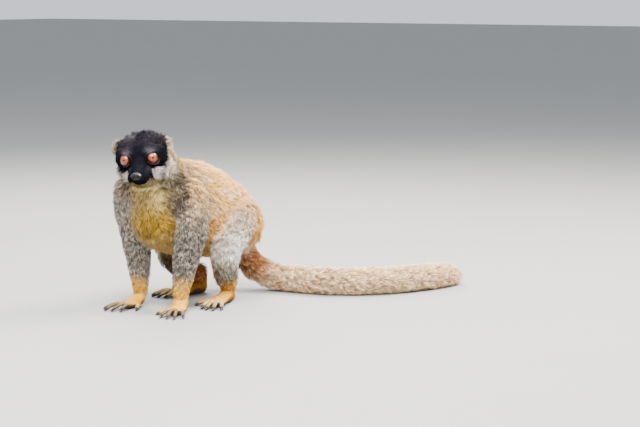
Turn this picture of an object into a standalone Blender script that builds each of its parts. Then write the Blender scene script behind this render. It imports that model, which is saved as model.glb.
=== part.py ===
"""Common brown lemur, life size, standing on all fours with its head turned to its left: a still museum model.

The animal heads along -Y with its left side along +X, and stands on the floor at Z = 0. The solids give the
outline out to the tips of the coat. Sizes in the tables are millimetres; the meshes are metres.
"""

import math
from dataclasses import dataclass

import bmesh
import bpy
from mathutils import Matrix, Vector

MM = 0.001
GAP = 0.3  # between neighbouring parts
HALF_GAP = GAP / 2
RING_SIDES = 20
DIGIT_SIDES = 12
BALL_RINGS = 8
PRESS = 1.8  # how far the soft soles settle into the floor, which leaves them flat


# ---------------------------------------------------------------- sizes
@dataclass(frozen=True)
class Station:
    """One elliptical section of a loft: its centre, half width across and half height."""

    at: tuple
    wide: float
    tall: float


@dataclass(frozen=True)
class Lump:
    """One ellipsoid of flesh and coat: its centre and half sizes."""

    at: tuple
    half: tuple


TRUNK = (
    Station((0, -112, 172), 24, 34),
    Station((0, -97, 169), 43, 56),
    Station((0, -65, 163), 54, 70),
    Station((0, -28, 157), 58, 76),
    Station((0, 2, 152), 60, 76),
    Station((0, 38, 142), 60, 72),
    Station((0, 78, 126), 58, 64),
    Station((0, 110, 113), 54, 55),
    Station((0, 134, 104), 43, 43),
    Station((0, 147, 99), 25, 26),
)
NECK = (
    Station((0, -52, 190), 44, 46),
    Station((-1, -72, 205), 43, 43),
    Station((-1, -92, 226), 40, 40),
    Station((0, -112, 246), 36, 36),
)
ARM_LEFT = (
    Station((30, -50, 196), 24, 24),
    Station((40, -55, 180), 31, 33),
    Station((46, -58, 148), 29, 31),
    Station((50, -60, 112), 24, 26),
    Station((49, -68, 84), 20, 22),
    Station((48, -75, 58), 17, 18),
    Station((47, -80, 38), 14, 14.5),
    Station((47, -82, 18), 12.5, 12.5),
)
ARM_RIGHT = (
    Station((-35, -85, 207), 28, 26),
    Station((-43, -86, 185), 32, 34),
    Station((-46, -86, 148), 28, 30),
    Station((-46, -79, 112), 23, 25.5),
    Station((-44, -77, 84), 20, 22),
    Station((-42, -77, 58), 17, 18),
    Station((-40, -78, 38), 14, 14.5),
    Station((-40, -79, 18), 12.5, 12.5),
)
LEG_LEFT = (
    Station((32, 92, 134), 32, 36),
    Station((42, 66, 129), 32, 40),
    Station((53, 38, 114), 30, 35),
    Station((61, 16, 97), 25, 28),
    Station((60, 14, 76), 22, 24),
    Station((56, 20, 54), 20, 21),
    Station((52, 29, 36), 17.5, 18),
    Station((50, 33, 16), 14, 14),
)
LEG_RIGHT = (
    Station((-32, 94, 134), 32, 36),
    Station((-40, 68, 125), 32, 40),
    Station((-48, 37, 105), 30, 34),
    Station((-54, 7, 87), 24, 27),
    Station((-53, 14, 67), 20.5, 22),
    Station((-50, 35, 47), 17.5, 19),
    Station((-44, 65, 33), 15, 16),
    Station((-42, 74, 16), 13, 14),
)
TAIL = (
    Station((0, 108, 92), 24, 24),
    Station((1, 122, 76), 24, 24),
    Station((5, 137, 57), 23.5, 23.5),
    Station((15, 151, 39), 23, 23),
    Station((36, 163, 26), 22.8, 22.8),
    Station((66, 170, 22.2), 22.5, 22.5),
    Station((102, 176, 22.2), 22.5, 22.5),
    Station((142, 187, 22.2), 22.5, 22.5),
    Station((178, 208, 22.2), 22.5, 22.5),
    Station((206, 238, 22.2), 22.5, 22.5),
    Station((227, 272, 22.2), 22.5, 22.5),
    Station((242, 308, 22.2), 22.5, 22.5),
    Station((252, 344, 21.4), 21.8, 21.8),
    Station((257, 376, 19.6), 20, 20),
    Station((259, 398, 14), 14.5, 14.5),
    Station((259, 407, 8), 6, 6),
)
TAIL_CUTS = (2, 5, 8, 10, 12)  # the stations where one length of tail ends and the next begins

HEAD_AT = Vector((4, -117, 245))
HEAD_TURN = math.radians(30)
HEAD_DROP = math.radians(15)
HEAD_ROLL = math.radians(-6)
HEAD_LUMPS = (
    Lump((0, 5, 3), (38, 41, 33)),
    Lump((25, -2, -12), (21, 28, 25)),
    Lump((-25, -2, -12), (21, 28, 25)),
    Lump((25, 4, 16), (14, 21, 15)),
    Lump((-25, 4, 16), (14, 21, 15)),
    Lump((20.5, -20, 7), (16, 12, 16)),
    Lump((-20.5, -20, 7), (16, 12, 16)),
    Lump((0, -44, -21), (13, 18, 7)),
)
MUZZLE = (
    Station((0, -12, 0), 26, 24),
    Station((0, -26, -4), 23, 20),
    Station((0, -38, -8), 18, 15.5),
    Station((0, -50, -11.5), 15.5, 12.5),
    Station((0, -58, -13.5), 13.5, 10.5),
    Station((0, -64, -14), 8, 6.5),
)
NOSE = Lump((0, -63.5, -8.5), (9, 6, 6.5))
EYE_AT = (20, -25.5, 6.5)
EYE_RADIUS = 10.0
EAR_AT = (38.5, 10, 12)
EAR_HALF = (6, 12, 15)
EAR_LEAN = math.radians(28)

NECK_DIRECTION = Vector((0, 0.68, -0.733)).normalized()
HEAD_CUT = HEAD_AT + NECK_DIRECTION * 37
NECK_LENGTH = 32
WRIST_CUT = 30.0
ANKLE_CUT = 28.0


@dataclass(frozen=True)
class Paw:
    """A hand or foot in its own frame: digits point along -Y, the thumb or big toe lies towards -X."""

    name: str
    at: tuple
    splay: float
    cut: float
    body: tuple
    lumps: tuple
    digits: tuple
    mirrored: bool


HAND_BODY = (
    Station((0, 1, 40), 14, 14),
    Station((0, 0, 24), 12.5, 12.5),
    Station((0, -5, 13), 13, 11),
    Station((0, -18, 9), 15, 9),
    Station((0, -32, 7.5), 14, 7),
    Station((0, -37, 7), 9, 5),
)
HAND_LUMPS = (Lump((-9, -12, 7), (8, 12, 7)), Lump((7, -14, 6.5), (8, 14, 7)))
HAND_DIGITS = (
    ((-8, -10, 8), (-18, -22, 8), (-25, -31, 6), (-29, -40, 3.6)),
    ((-9, -28, 8), (-12, -42, 11), (-15, -53, 7.5), (-17, -62, 3.6)),
    ((-3, -30, 8), (-4, -46, 12), (-5, -59, 8), (-5.5, -70, 3.6)),
    ((3, -30, 8), (4, -47, 12), (6, -61, 8), (7, -73, 3.6)),
    ((9, -27, 8), (12, -41, 11), (16, -52, 7.5), (19, -62, 3.6)),
)
FOOT_BODY = (
    Station((0, 0, 40), 16, 17),
    Station((0, 2, 25), 14, 15),
    Station((0, 1, 14), 13, 14),
    Station((-1, -16, 11), 12.5, 10.5),
    Station((-1, -36, 8.5), 14.5, 8.5),
    Station((0, -50, 7.5), 13.5, 7),
    Station((0, -55, 7), 9, 5),
)
FOOT_LUMPS = (Lump((0, 6, 10), (11, 12, 11)), Lump((-10, -24, 7.5), (9, 14, 7.5)))
FOOT_DIGITS = (
    ((-8, -22, 8), (-20, -36, 9), (-28, -46, 7.5), (-34, -56, 4.4)),
    ((-8, -46, 8), (-11, -60, 11), (-13, -71, 7.5), (-14, -80, 3.8)),
    ((-2.5, -48, 8), (-3, -64, 12), (-3.5, -77, 8), (-4, -87, 3.8)),
    ((3, -48, 8), (5, -65, 12), (7, -78, 8), (8.5, -89, 3.8)),
    ((8.5, -45, 8), (13, -60, 11), (17, -72, 7.5), (20, -81, 3.8)),
)
HAND_DIGIT_RADII = (5.2, 4.8, 4.3, 3.6)
FOOT_DIGIT_RADII = (5.6, 5.2, 4.6, 3.8)
PAWS = (
    Paw("hand_left", (47, -80, 0), 26, WRIST_CUT, HAND_BODY, HAND_LUMPS, HAND_DIGITS, False),
    Paw("hand_right", (-40, -77, 0), -4, WRIST_CUT, HAND_BODY, HAND_LUMPS, HAND_DIGITS, True),
    Paw("foot_left", (50, 33, 0), 18, ANKLE_CUT, FOOT_BODY, FOOT_LUMPS, FOOT_DIGITS, False),
    Paw("foot_right", (-42, 74, 0), -16, ANKLE_CUT, FOOT_BODY, FOOT_LUMPS, FOOT_DIGITS, True),
)

COAT_GREY = (0.33, 0.29, 0.24)
COAT_TAN = (0.50, 0.33, 0.19)
COAT_GOLD = (0.62, 0.38, 0.14)
FACE_BLACK = (0.03, 0.03, 0.035)
SKIN_DARK = (0.02, 0.02, 0.022)
EYE_ORANGE = (0.62, 0.18, 0.05)
TAIL_BROWN = (0.36, 0.27, 0.19)


# ---------------------------------------------------------------- meshes
def clear_scene() -> None:
    for obj in list(bpy.data.objects):
        bpy.data.objects.remove(obj, do_unlink=True)


def collection_for(name: str) -> bpy.types.Collection:
    collection = bpy.data.collections.new(name)
    bpy.context.scene.collection.children.link(collection)
    return collection


def object_from(name: str, shape: bmesh.types.BMesh) -> bpy.types.Object:
    bmesh.ops.recalc_face_normals(shape, faces=shape.faces)
    mesh = bpy.data.meshes.new(name)
    shape.to_mesh(mesh)
    shape.free()
    obj = bpy.data.objects.new(name, mesh)
    SHOP.objects.link(obj)
    return obj


def add_loft(shape: bmesh.types.BMesh, stations: tuple, sides: int = RING_SIDES) -> None:
    """Rings across the path through the stations, bridged one to the next and capped."""
    centres = [Vector(station.at) * MM for station in stations]
    rings = []
    for i, station in enumerate(stations):
        ahead = centres[min(i + 1, len(centres) - 1)] - centres[max(i - 1, 0)]
        ahead.normalize()
        aside = ahead.cross(Vector((0, 0, 1)) if abs(ahead.z) < 0.9 else Vector((0, -1, 0))).normalized()
        upward = aside.cross(ahead).normalized()
        ring = []
        for k in range(sides):
            turn = 2 * math.pi * k / sides
            across = aside * (math.cos(turn) * station.wide * MM)
            ring.append(shape.verts.new(centres[i] + across + upward * (math.sin(turn) * station.tall * MM)))
        rings.append(ring)
    for low, high in zip(rings, rings[1:]):
        offset = min(range(sides), key=lambda k: (low[0].co - high[k].co).length)
        for k in range(sides):
            shape.faces.new((low[k], low[(k + 1) % sides], high[(k + 1 + offset) % sides], high[(k + offset) % sides]))
    shape.faces.new(rings[0])
    shape.faces.new(rings[-1])


def add_lump(shape: bmesh.types.BMesh, lump: Lump, rings: int = 16) -> None:
    place = Matrix.Translation(Vector(lump.at) * MM) @ Matrix.Diagonal((*(Vector(lump.half) * MM), 1))
    bmesh.ops.create_uvsphere(shape, u_segments=2 * rings, v_segments=rings, radius=1, matrix=place)


def add_digit(shape: bmesh.types.BMesh, points: tuple, radii: tuple) -> None:
    stations = tuple(Station(at, r, r) for at, r in zip(points, radii))
    add_loft(shape, stations, DIGIT_SIDES)
    for at, r in list(zip(points, radii))[1:]:
        add_lump(shape, Lump(at, (r, r, r)), DIGIT_SIDES // 2)


def place_shape(shape: bmesh.types.BMesh, place: Matrix) -> None:
    bmesh.ops.transform(shape, matrix=place, verts=shape.verts)


def evaluate(obj: bpy.types.Object) -> None:
    """Keeps what the object's modifiers make, and takes the modifiers off."""
    bpy.context.view_layer.update()
    made = bpy.data.meshes.new_from_object(obj.evaluated_get(bpy.context.evaluated_depsgraph_get()))
    obj.modifiers.clear()
    obj.data = made


def fuse(obj: bpy.types.Object, voxel: float, smoothing: int, triangles: int) -> bpy.types.Object:
    """One closed skin over every overlapping solid of the object, smoothed and thinned out."""
    remesh = obj.modifiers.new("Fuse", "REMESH")
    remesh.mode = "VOXEL"
    remesh.voxel_size = voxel * MM
    smooth = obj.modifiers.new("Smooth", "SMOOTH")
    smooth.factor = 0.5
    smooth.iterations = smoothing
    evaluate(obj)
    obj.data.calc_loop_triangles()
    thin = obj.modifiers.new("Thin", "DECIMATE")
    thin.ratio = min(1.0, triangles / len(obj.data.loop_triangles))
    thin.use_collapse_triangulate = True
    evaluate(obj)
    return obj


def half_space(name: str, point: Vector, facing: Vector, reach: float = 700) -> bpy.types.Object:
    """A big block whose near face passes through the point; it fills the side that facing points to."""
    shape = bmesh.new()
    size = Vector((2 * reach, 2 * reach, reach)) * MM
    bmesh.ops.create_cube(shape, size=1, matrix=Matrix.Diagonal((*size, 1)))
    turn = Vector((0, 0, 1)).rotation_difference(facing).to_matrix().to_4x4()
    lift = Matrix.Translation((0, 0, reach * MM / 2))
    place_shape(shape, Matrix.Translation(point * MM) @ turn @ lift)
    return object_from(name, shape)


def block(name: str, low: tuple, high: tuple) -> bpy.types.Object:
    """A box between two corners."""
    shape = bmesh.new()
    low, high = Vector(low) * MM, Vector(high) * MM
    place = Matrix.Translation((low + high) / 2) @ Matrix.Diagonal((*(high - low), 1))
    bmesh.ops.create_cube(shape, size=1, matrix=place)
    return object_from(name, shape)


def boolean(obj: bpy.types.Object, cutter: bpy.types.Object, operation: str) -> None:
    modifier = obj.modifiers.new(operation, "BOOLEAN")
    modifier.operation = operation
    modifier.solver = "EXACT"
    modifier.object = cutter
    evaluate(obj)


def copy_of(obj: bpy.types.Object, name: str) -> bpy.types.Object:
    twin = bpy.data.objects.new(name, obj.data.copy())
    SHOP.objects.link(twin)
    return twin


def discard(*objects: bpy.types.Object) -> None:
    for obj in objects:
        bpy.data.objects.remove(obj, do_unlink=True)


def keep_beyond(obj: bpy.types.Object, point: Vector, facing: Vector) -> None:
    """Cuts the object at half a gap past the plane and keeps the side that facing points to."""
    cutter = half_space("Cutter", point + facing * HALF_GAP, facing)
    boolean(obj, cutter, "INTERSECT")
    discard(cutter)


def carve(body: bpy.types.Object, name: str, low: tuple, high: tuple) -> bpy.types.Object:
    """Takes what lies in the box out of the body as a part of its own, with a gap between the two."""
    part = copy_of(body, name)
    inner = block("Cutter", low, high)
    outer = block("Cutter", tuple(c - GAP for c in low), tuple(c + GAP for c in high))
    boolean(part, inner, "INTERSECT")
    boolean(body, outer, "DIFFERENCE")
    discard(inner, outer)
    return part


def largest_body_only(obj: bpy.types.Object) -> None:
    """Drops crumbs that a cut leaves beside the part."""
    shape = bmesh.new()
    shape.from_mesh(obj.data)
    shape.verts.ensure_lookup_table()
    seen, groups = set(), []
    for start in shape.verts:
        if start.index in seen:
            continue
        group, todo = [], [start]
        seen.add(start.index)
        while todo:
            vert = todo.pop()
            group.append(vert)
            for edge in vert.link_edges:
                other = edge.other_vert(vert)
                if other.index not in seen:
                    seen.add(other.index)
                    todo.append(other)
        groups.append(group)
    groups.sort(key=len, reverse=True)
    for group in groups[1:]:
        bmesh.ops.delete(shape, geom=group, context="VERTS")
    shape.to_mesh(obj.data)
    shape.free()


# ---------------------------------------------------------------- parts
def head_place() -> Matrix:
    turn = Matrix.Rotation(HEAD_TURN, 4, "Z") @ Matrix.Rotation(HEAD_DROP, 4, "X")
    return Matrix.Translation(HEAD_AT * MM) @ turn @ Matrix.Rotation(HEAD_ROLL, 4, "Y")


def build_torso() -> bpy.types.Object:
    """Trunk, neck, limbs and the root of the tail, fused."""
    shape = bmesh.new()
    for stations in (TRUNK, NECK, ARM_LEFT, ARM_RIGHT, LEG_LEFT, LEG_RIGHT, TAIL[:5]):
        add_loft(shape, stations)
    skull = bmesh.new()
    for lump in HEAD_LUMPS[:5]:
        add_lump(skull, lump)
    place_shape(skull, head_place())
    stub = bpy.data.meshes.new("Stub")
    skull.to_mesh(stub)
    skull.free()
    shape.from_mesh(stub)
    return fuse(object_from("torso", shape), 2.5, 6, 2200)


def build_head() -> bpy.types.Object:
    """Skull, cheeks, brows and muzzle, fused with the top of the neck."""
    shape = bmesh.new()
    for lump in HEAD_LUMPS:
        add_lump(shape, lump)
    add_loft(shape, MUZZLE, 24)
    place_shape(shape, head_place())
    add_loft(shape, NECK)
    head = fuse(object_from("head", shape), 1.6, 5, 850)
    keep_beyond(head, HEAD_CUT, -NECK_DIRECTION)
    return head


def build_ball(name: str, lump: Lump, place: Matrix, rings: int) -> bpy.types.Object:
    shape = bmesh.new()
    add_lump(shape, lump, rings)
    place_shape(shape, place)
    return object_from(name, shape)


def hollow_for(body: bpy.types.Object, lump: Lump, place: Matrix) -> None:
    """Cuts room for a ball out of the body, a gap wider than the ball."""
    room = Lump(lump.at, tuple(half + GAP for half in lump.half))
    cutter = build_ball("Cutter", room, place, BALL_RINGS)
    boolean(body, cutter, "DIFFERENCE")
    discard(cutter)


def build_ear(name: str, side: int) -> bpy.types.Object:
    """A rounded, cupped ear with its hollow facing forwards and outwards."""
    shape = bmesh.new()
    add_lump(shape, Lump((0, 0, 0), EAR_HALF), 8)
    lean = Matrix.Rotation(side * EAR_LEAN, 4, "Y") @ Matrix.Rotation(side * math.radians(50), 4, "Z")
    seat = Matrix.Translation(Vector((side * EAR_AT[0], EAR_AT[1], EAR_AT[2])) * MM)
    place_shape(shape, head_place() @ seat @ lean)
    return object_from(name, shape)


def build_paw(paw: Paw) -> bpy.types.Object:
    """A hand or foot flat on the floor, cut level at the wrist or ankle."""
    shape = bmesh.new()
    add_loft(shape, paw.body)
    for lump in paw.lumps:
        add_lump(shape, lump, 8)
    radii = HAND_DIGIT_RADII if paw.body is HAND_BODY else FOOT_DIGIT_RADII
    for points in paw.digits:
        add_digit(shape, points, radii)
    if paw.mirrored:
        place_shape(shape, Matrix.Diagonal((-1, 1, 1, 1)))
        bmesh.ops.reverse_faces(shape, faces=shape.faces)
    turn = Matrix.Rotation(math.radians(paw.splay), 4, "Z")
    place_shape(shape, Matrix.Translation((Vector(paw.at) - Vector((0, 0, PRESS))) * MM) @ turn)
    obj = fuse(object_from(paw.name, shape), 1.1, 2, 440)
    keep_beyond(obj, Vector((0, 0, -HALF_GAP)), Vector((0, 0, 1)))
    keep_beyond(obj, Vector((0, 0, paw.cut)), Vector((0, 0, -1)))
    return obj


def tail_cut(index: int) -> tuple:
    """The point and direction of the plane between two lengths of tail."""
    before, at, after = (Vector(TAIL[i].at) for i in (index - 1, index, index + 1))
    return at, (after - before).normalized()


def build_tail() -> list:
    """The lengths of tail past its root, each cut square and laid on the floor."""
    lengths = []
    ends = TAIL_CUTS + (None,)
    for n, (first, last) in enumerate(zip(ends, ends[1:])):
        shape = bmesh.new()
        add_loft(shape, TAIL[first - 1 : last + 2 if last else len(TAIL)], 16)
        obj = object_from(f"tail_{n + 1}", shape)
        keep_beyond(obj, *tail_cut(first))
        if last:
            point, ahead = tail_cut(last)
            keep_beyond(obj, point, -ahead)
        keep_beyond(obj, Vector((0, 0, -HALF_GAP)), Vector((0, 0, 1)))
        lengths.append(obj)
    return lengths


def split_torso(torso: bpy.types.Object) -> list:
    """Cuts the fused body into the parts that a person names."""
    keep_beyond(torso, HEAD_CUT, NECK_DIRECTION)
    point, ahead = tail_cut(TAIL_CUTS[0])
    keep_beyond(torso, point, -ahead)
    parts = [
        carve(torso, "upper_arm_left", (30, -112, 88), (110, -16, 206)),
        carve(torso, "upper_arm_right", (-110, -128, 88), (-30, -42, 206)),
        carve(torso, "forearm_left", (24, -112, WRIST_CUT + GAP), (110, -40, 88 - GAP)),
        carve(torso, "forearm_right", (-110, -112, WRIST_CUT + GAP), (-20, -46, 88 - GAP)),
        carve(torso, "thigh_left", (34, -14, 74), (120, 118, 186)),
        carve(torso, "thigh_right", (-120, -26, 66), (-34, 118, 182)),
        carve(torso, "shin_left", (30, -10, ANKLE_CUT + GAP), (120, 104, 74 - GAP)),
        carve(torso, "shin_right", (-120, -30, ANKLE_CUT + GAP), (-28, 108, 66 - GAP)),
    ]
    neck = copy_of(torso, "neck")
    neck_end = HEAD_CUT + NECK_DIRECTION * NECK_LENGTH
    keep_beyond(neck, neck_end, -NECK_DIRECTION)
    keep_beyond(torso, neck_end, NECK_DIRECTION)
    above = block("Cutter", (-300, -400, WRIST_CUT + 20), (300, 400, 600))
    boolean(torso, above, "INTERSECT")
    discard(above)
    chest = copy_of(torso, "chest")
    rump = copy_of(torso, "rump")
    keep_beyond(chest, Vector((0, -14, 0)), Vector((0, -1, 0)))
    keep_beyond(rump, Vector((0, 74, 0)), Vector((0, 1, 0)))
    keep_beyond(torso, Vector((0, -14, 0)), Vector((0, 1, 0)))
    keep_beyond(torso, Vector((0, 74, 0)), Vector((0, -1, 0)))
    torso.name = "belly"
    return parts + [neck, chest, rump, torso]


# ---------------------------------------------------------------- finishes
def material(name: str, colour: tuple, roughness: float) -> bpy.types.Material:
    made = bpy.data.materials.new(name)
    made.use_nodes = True
    shader = made.node_tree.nodes["Principled BSDF"]
    shader.inputs["Base Color"].default_value = (*colour, 1)
    shader.inputs["Roughness"].default_value = roughness
    return made


FINISHES = {
    "head": ("CoatFace", FACE_BLACK, 0.8),
    "nose": ("NoseSkin", SKIN_DARK, 0.35),
    "eye": ("EyeOrange", EYE_ORANGE, 0.1),
    "ear": ("CoatPale", (0.55, 0.50, 0.42), 0.8),
    "tail": ("CoatTail", TAIL_BROWN, 0.8),
    "hand": ("CoatGold", COAT_GOLD, 0.8),
    "foot": ("CoatGold", COAT_GOLD, 0.8),
    "rump": ("CoatTan", COAT_TAN, 0.8),
    "belly": ("CoatTan", COAT_TAN, 0.8),
}


def dress(obj: bpy.types.Object) -> None:
    name, colour, roughness = FINISHES.get(obj.name.split("_")[0], ("CoatGrey", COAT_GREY, 0.8))
    made = bpy.data.materials.get(name) or material(name, colour, roughness)
    obj.data.materials.clear()
    obj.data.materials.append(made)


def settle(parts: list) -> None:
    """Shifts every part so that the box round them all is centred on the origin and stands on the floor."""
    corners = [vert.co for part in parts for vert in part.data.vertices]
    middle = [(min(c[i] for c in corners) + max(c[i] for c in corners)) / 2 for i in range(2)]
    shift = Matrix.Translation((-middle[0], -middle[1], -min(c.z for c in corners)))
    for part in parts:
        part.data.transform(shift)
        part.data.update()


def main() -> None:
    head = build_head()
    parts = split_torso(build_torso()) + [head]
    place = head_place()
    for name, side in (("left", 1), ("right", -1)):
        eye = Lump((side * EYE_AT[0], *EYE_AT[1:]), (EYE_RADIUS,) * 3)
        hollow_for(head, eye, place)
        parts.append(build_ball(f"eye_{name}", eye, place, BALL_RINGS))
    hollow_for(head, NOSE, place)
    parts.append(build_ball("nose", NOSE, place, BALL_RINGS))
    for name, side in (("left", 1), ("right", -1)):
        ear = build_ear(f"ear_{name}", side)
        room = copy_of(ear, "Cutter")
        room.data.transform(Matrix.Identity(4))
        grow = room.modifiers.new("Grow", "DISPLACE")
        grow.strength = GAP * MM
        grow.mid_level = 0
        evaluate(room)
        boolean(head, room, "DIFFERENCE")
        discard(room)
        parts.append(ear)
    parts += [build_paw(paw) for paw in PAWS] + build_tail()
    lemur = collection_for("lemur")
    for part in parts:
        largest_body_only(part)
        dress(part)
        SHOP.objects.unlink(part)
        lemur.objects.link(part)
    settle(parts)


clear_scene()
SHOP = collection_for("workshop")
main()
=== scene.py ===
"""A common brown lemur on all fours: skin, coat of locks, eyes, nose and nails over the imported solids."""
import logging
import math
from collections.abc import Iterator
from dataclasses import dataclass, field
from enum import Enum

import bmesh
import bpy
import numpy as np
from mathutils import Matrix, Vector
from mathutils.kdtree import KDTree


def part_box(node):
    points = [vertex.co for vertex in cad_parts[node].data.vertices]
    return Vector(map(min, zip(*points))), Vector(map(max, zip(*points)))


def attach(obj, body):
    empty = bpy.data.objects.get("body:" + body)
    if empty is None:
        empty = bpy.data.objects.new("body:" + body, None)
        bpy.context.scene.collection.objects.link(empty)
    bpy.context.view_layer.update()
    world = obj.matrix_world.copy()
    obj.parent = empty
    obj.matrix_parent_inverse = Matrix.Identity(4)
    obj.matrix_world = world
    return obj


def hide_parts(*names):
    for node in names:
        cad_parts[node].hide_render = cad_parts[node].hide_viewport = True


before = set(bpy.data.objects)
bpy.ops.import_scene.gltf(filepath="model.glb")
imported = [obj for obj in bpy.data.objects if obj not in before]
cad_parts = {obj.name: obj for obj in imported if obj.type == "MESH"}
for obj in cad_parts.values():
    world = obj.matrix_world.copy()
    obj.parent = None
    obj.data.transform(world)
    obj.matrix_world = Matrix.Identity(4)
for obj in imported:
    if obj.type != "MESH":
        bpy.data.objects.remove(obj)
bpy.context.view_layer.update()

MM = 0.001
BODY = "root"
SIDES = (1, -1)
log = logging.getLogger("lemur")

Rows = np.ndarray
Obj = bpy.types.Object
Socket = bpy.types.NodeSocket
Triple = tuple[float, float, float]
Chain = tuple[tuple[Triple, float, float], ...]


# ------------------------------------------------------------------ row maths
def unit(rows: Rows) -> Rows:
    """Scales each row, or one vector, to length one."""
    return rows / (np.linalg.norm(rows, axis=-1, keepdims=True) + 1e-12)


def ease(values: Rows, low: float, high: float) -> Rows:
    """A soft step over values, from 0 at low to 1 at high, where high may be below low."""
    t = np.clip((values - low) / (high - low), 0, 1)
    return t * t * (3 - 2 * t)


def bump(values: Rows, centre: float, width: float) -> Rows:
    """A bell curve of height one over values, which falls to about a third at width from its centre."""
    return np.exp(-(((values - centre) / width) ** 2))


def blob(points: Rows, centre: Triple, half: Triple) -> Rows:
    """A soft-edged ellipsoid of height one over points, from its centre and half sizes."""
    away = (points - np.array(centre)) / np.array(half)
    return np.exp(-(away**2).sum(1))


def ripple(points: Rows, size: float, seed: int, waves: int = 7) -> Rows:
    """Smooth, repeatable unevenness over space, between about -1 and 1.

    Args:
        points: Places in millimetres, one to a row.
        size: The rough distance between one crest and the next.
        seed: Picks the pattern.
        waves: How many plane waves add up.

    Returns:
        The unevenness at each point.
    """
    rng = np.random.default_rng(seed)
    total = np.zeros(len(points))
    for _ in range(waves):
        way = unit(rng.normal(size=3)) * (2 * math.pi / (size * rng.uniform(0.7, 1.5)))
        total += np.sin(points @ way + rng.uniform(0, 2 * math.pi))
    return total / math.sqrt(waves / 2) * 0.7


def flatten(rows: Rows, normals: Rows) -> Rows:
    """Lays rows in the surface, as unit vectors square to its unit normals."""
    return unit(rows - normals * (rows * normals).sum(1, keepdims=True))


# ------------------------------------------------------------------ frames and sizes
EYE_SEAT = (20.0, -25.5, 6.5)
NOSE_SEAT = (0.0, -63.5, -8.5)
HEAD_SEAT = (4.0, -117.0, 245.0)


def box_middle(node: str) -> Rows:
    """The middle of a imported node's box, in metres."""
    low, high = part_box(node)
    return np.array((low + high) / 2)


@dataclass(frozen=True)
class HeadFrame:
    """The head's own axes: +X to its left, +Y to its back, +Z to its crown, in millimetres."""

    at: Rows
    axes: Rows

    @classmethod
    def from_nodes(cls) -> "HeadFrame":
        """Finds the axes from where the two eyes and the nose are packed.

        Returns:
            The head's frame.
        """
        left, right, nose = box_middle("eye_left"), box_middle("eye_right"), box_middle("nose")
        side = unit(left - right)
        middle = (left + right) / 2
        reach = nose - middle
        reach = unit(reach - side * (reach @ side))
        ahead, drop = EYE_SEAT[1] - NOSE_SEAT[1], EYE_SEAT[2] - NOSE_SEAT[2]
        length = math.hypot(ahead, drop)
        across = np.cross(side, reach)
        back = reach * (-ahead / length) + across * (drop / length)
        up = reach * (-drop / length) + across * (-ahead / length)
        axes = np.array([side, back, up])
        at = middle - (back * EYE_SEAT[1] + up * EYE_SEAT[2]) * MM
        return cls(at, axes)

    def local(self, points: Rows) -> Rows:
        """Takes metres in the row frame to millimetres in the head's frame."""
        return (points - self.at) @ self.axes.T / MM

    def world(self, points: Rows) -> Rows:
        """Takes millimetres in the head's frame to metres in the row frame."""
        return self.at + np.asarray(points) * MM @ self.axes

    def matrix(self) -> Matrix:
        """The head's place as a matrix that takes head millimetres to row metres.

        Returns:
            The matrix.
        """
        turn = Matrix([list(row * MM) for row in self.axes]).transposed().to_4x4()
        turn.translation = Vector(self.at)
        return turn


HEAD = HeadFrame.from_nodes()
ORIGIN = HEAD.at / MM - np.array(HEAD_SEAT)


class Zone(Enum):
    """The parts of the coat, each made as pieces of its own."""

    HEAD = "head"
    NECK = "neck"
    TRUNK = "trunk"
    ARM_LEFT = "arm_left"
    ARM_RIGHT = "arm_right"
    LEG_LEFT = "leg_left"
    LEG_RIGHT = "leg_right"
    HAND_LEFT = "hand_left"
    HAND_RIGHT = "hand_right"
    FOOT_LEFT = "foot_left"
    FOOT_RIGHT = "foot_right"
    TAIL = "tail"


@dataclass(frozen=True)
class Stop:
    """One place along a guide line: its middle, radius with the coat, coat depth and lock length."""

    at: Triple
    radius: float
    depth: float
    length: float


@dataclass(frozen=True)
class Guide:
    """A line down the middle of a part of the body, along which the coat's depth, length and lie are set."""

    zone: Zone
    stops: tuple[Stop, ...]
    pull: Triple = (0.0, 0.0, 0.0)
    along: float = 1.0

    def measure(self, points: Rows) -> dict[str, Rows]:
        """Reads the guide at points near it.

        Args:
            points: Places in millimetres, in the animal's own frame.

        Returns:
            Arrays named ratio (distance over radius), depth, length, run (share of the line), flow and away
            (distance from the line).
        """
        count = len(points)
        best = {"ratio": np.full(count, 1e9), "depth": np.zeros(count), "length": np.zeros(count)}
        best |= {"run": np.zeros(count), "flow": np.zeros((count, 3)), "away": np.zeros((count, 3))}
        run = 0.0
        for one, two in zip(self.stops, self.stops[1:]):
            start, end = np.array(one.at), np.array(two.at)
            step = end - start
            size = np.linalg.norm(step)
            t = np.clip((points - start) @ step / size**2, 0, 1)
            away = points - (start + t[:, None] * step)
            radius = one.radius + (two.radius - one.radius) * t
            here = {
                "ratio": np.linalg.norm(away, axis=1) / radius,
                "depth": one.depth + (two.depth - one.depth) * t,
                "length": one.length + (two.length - one.length) * t,
                "run": run + t * size,
                "flow": np.tile(step / size, (count, 1)),
                "away": away,
            }
            near = here["ratio"] < best["ratio"]
            for name, values in here.items():
                best[name][near] = values[near]
            run += size
        best["flow"] = best["flow"] * self.along + np.array(self.pull)
        best["run"] /= run
        return best


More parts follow.
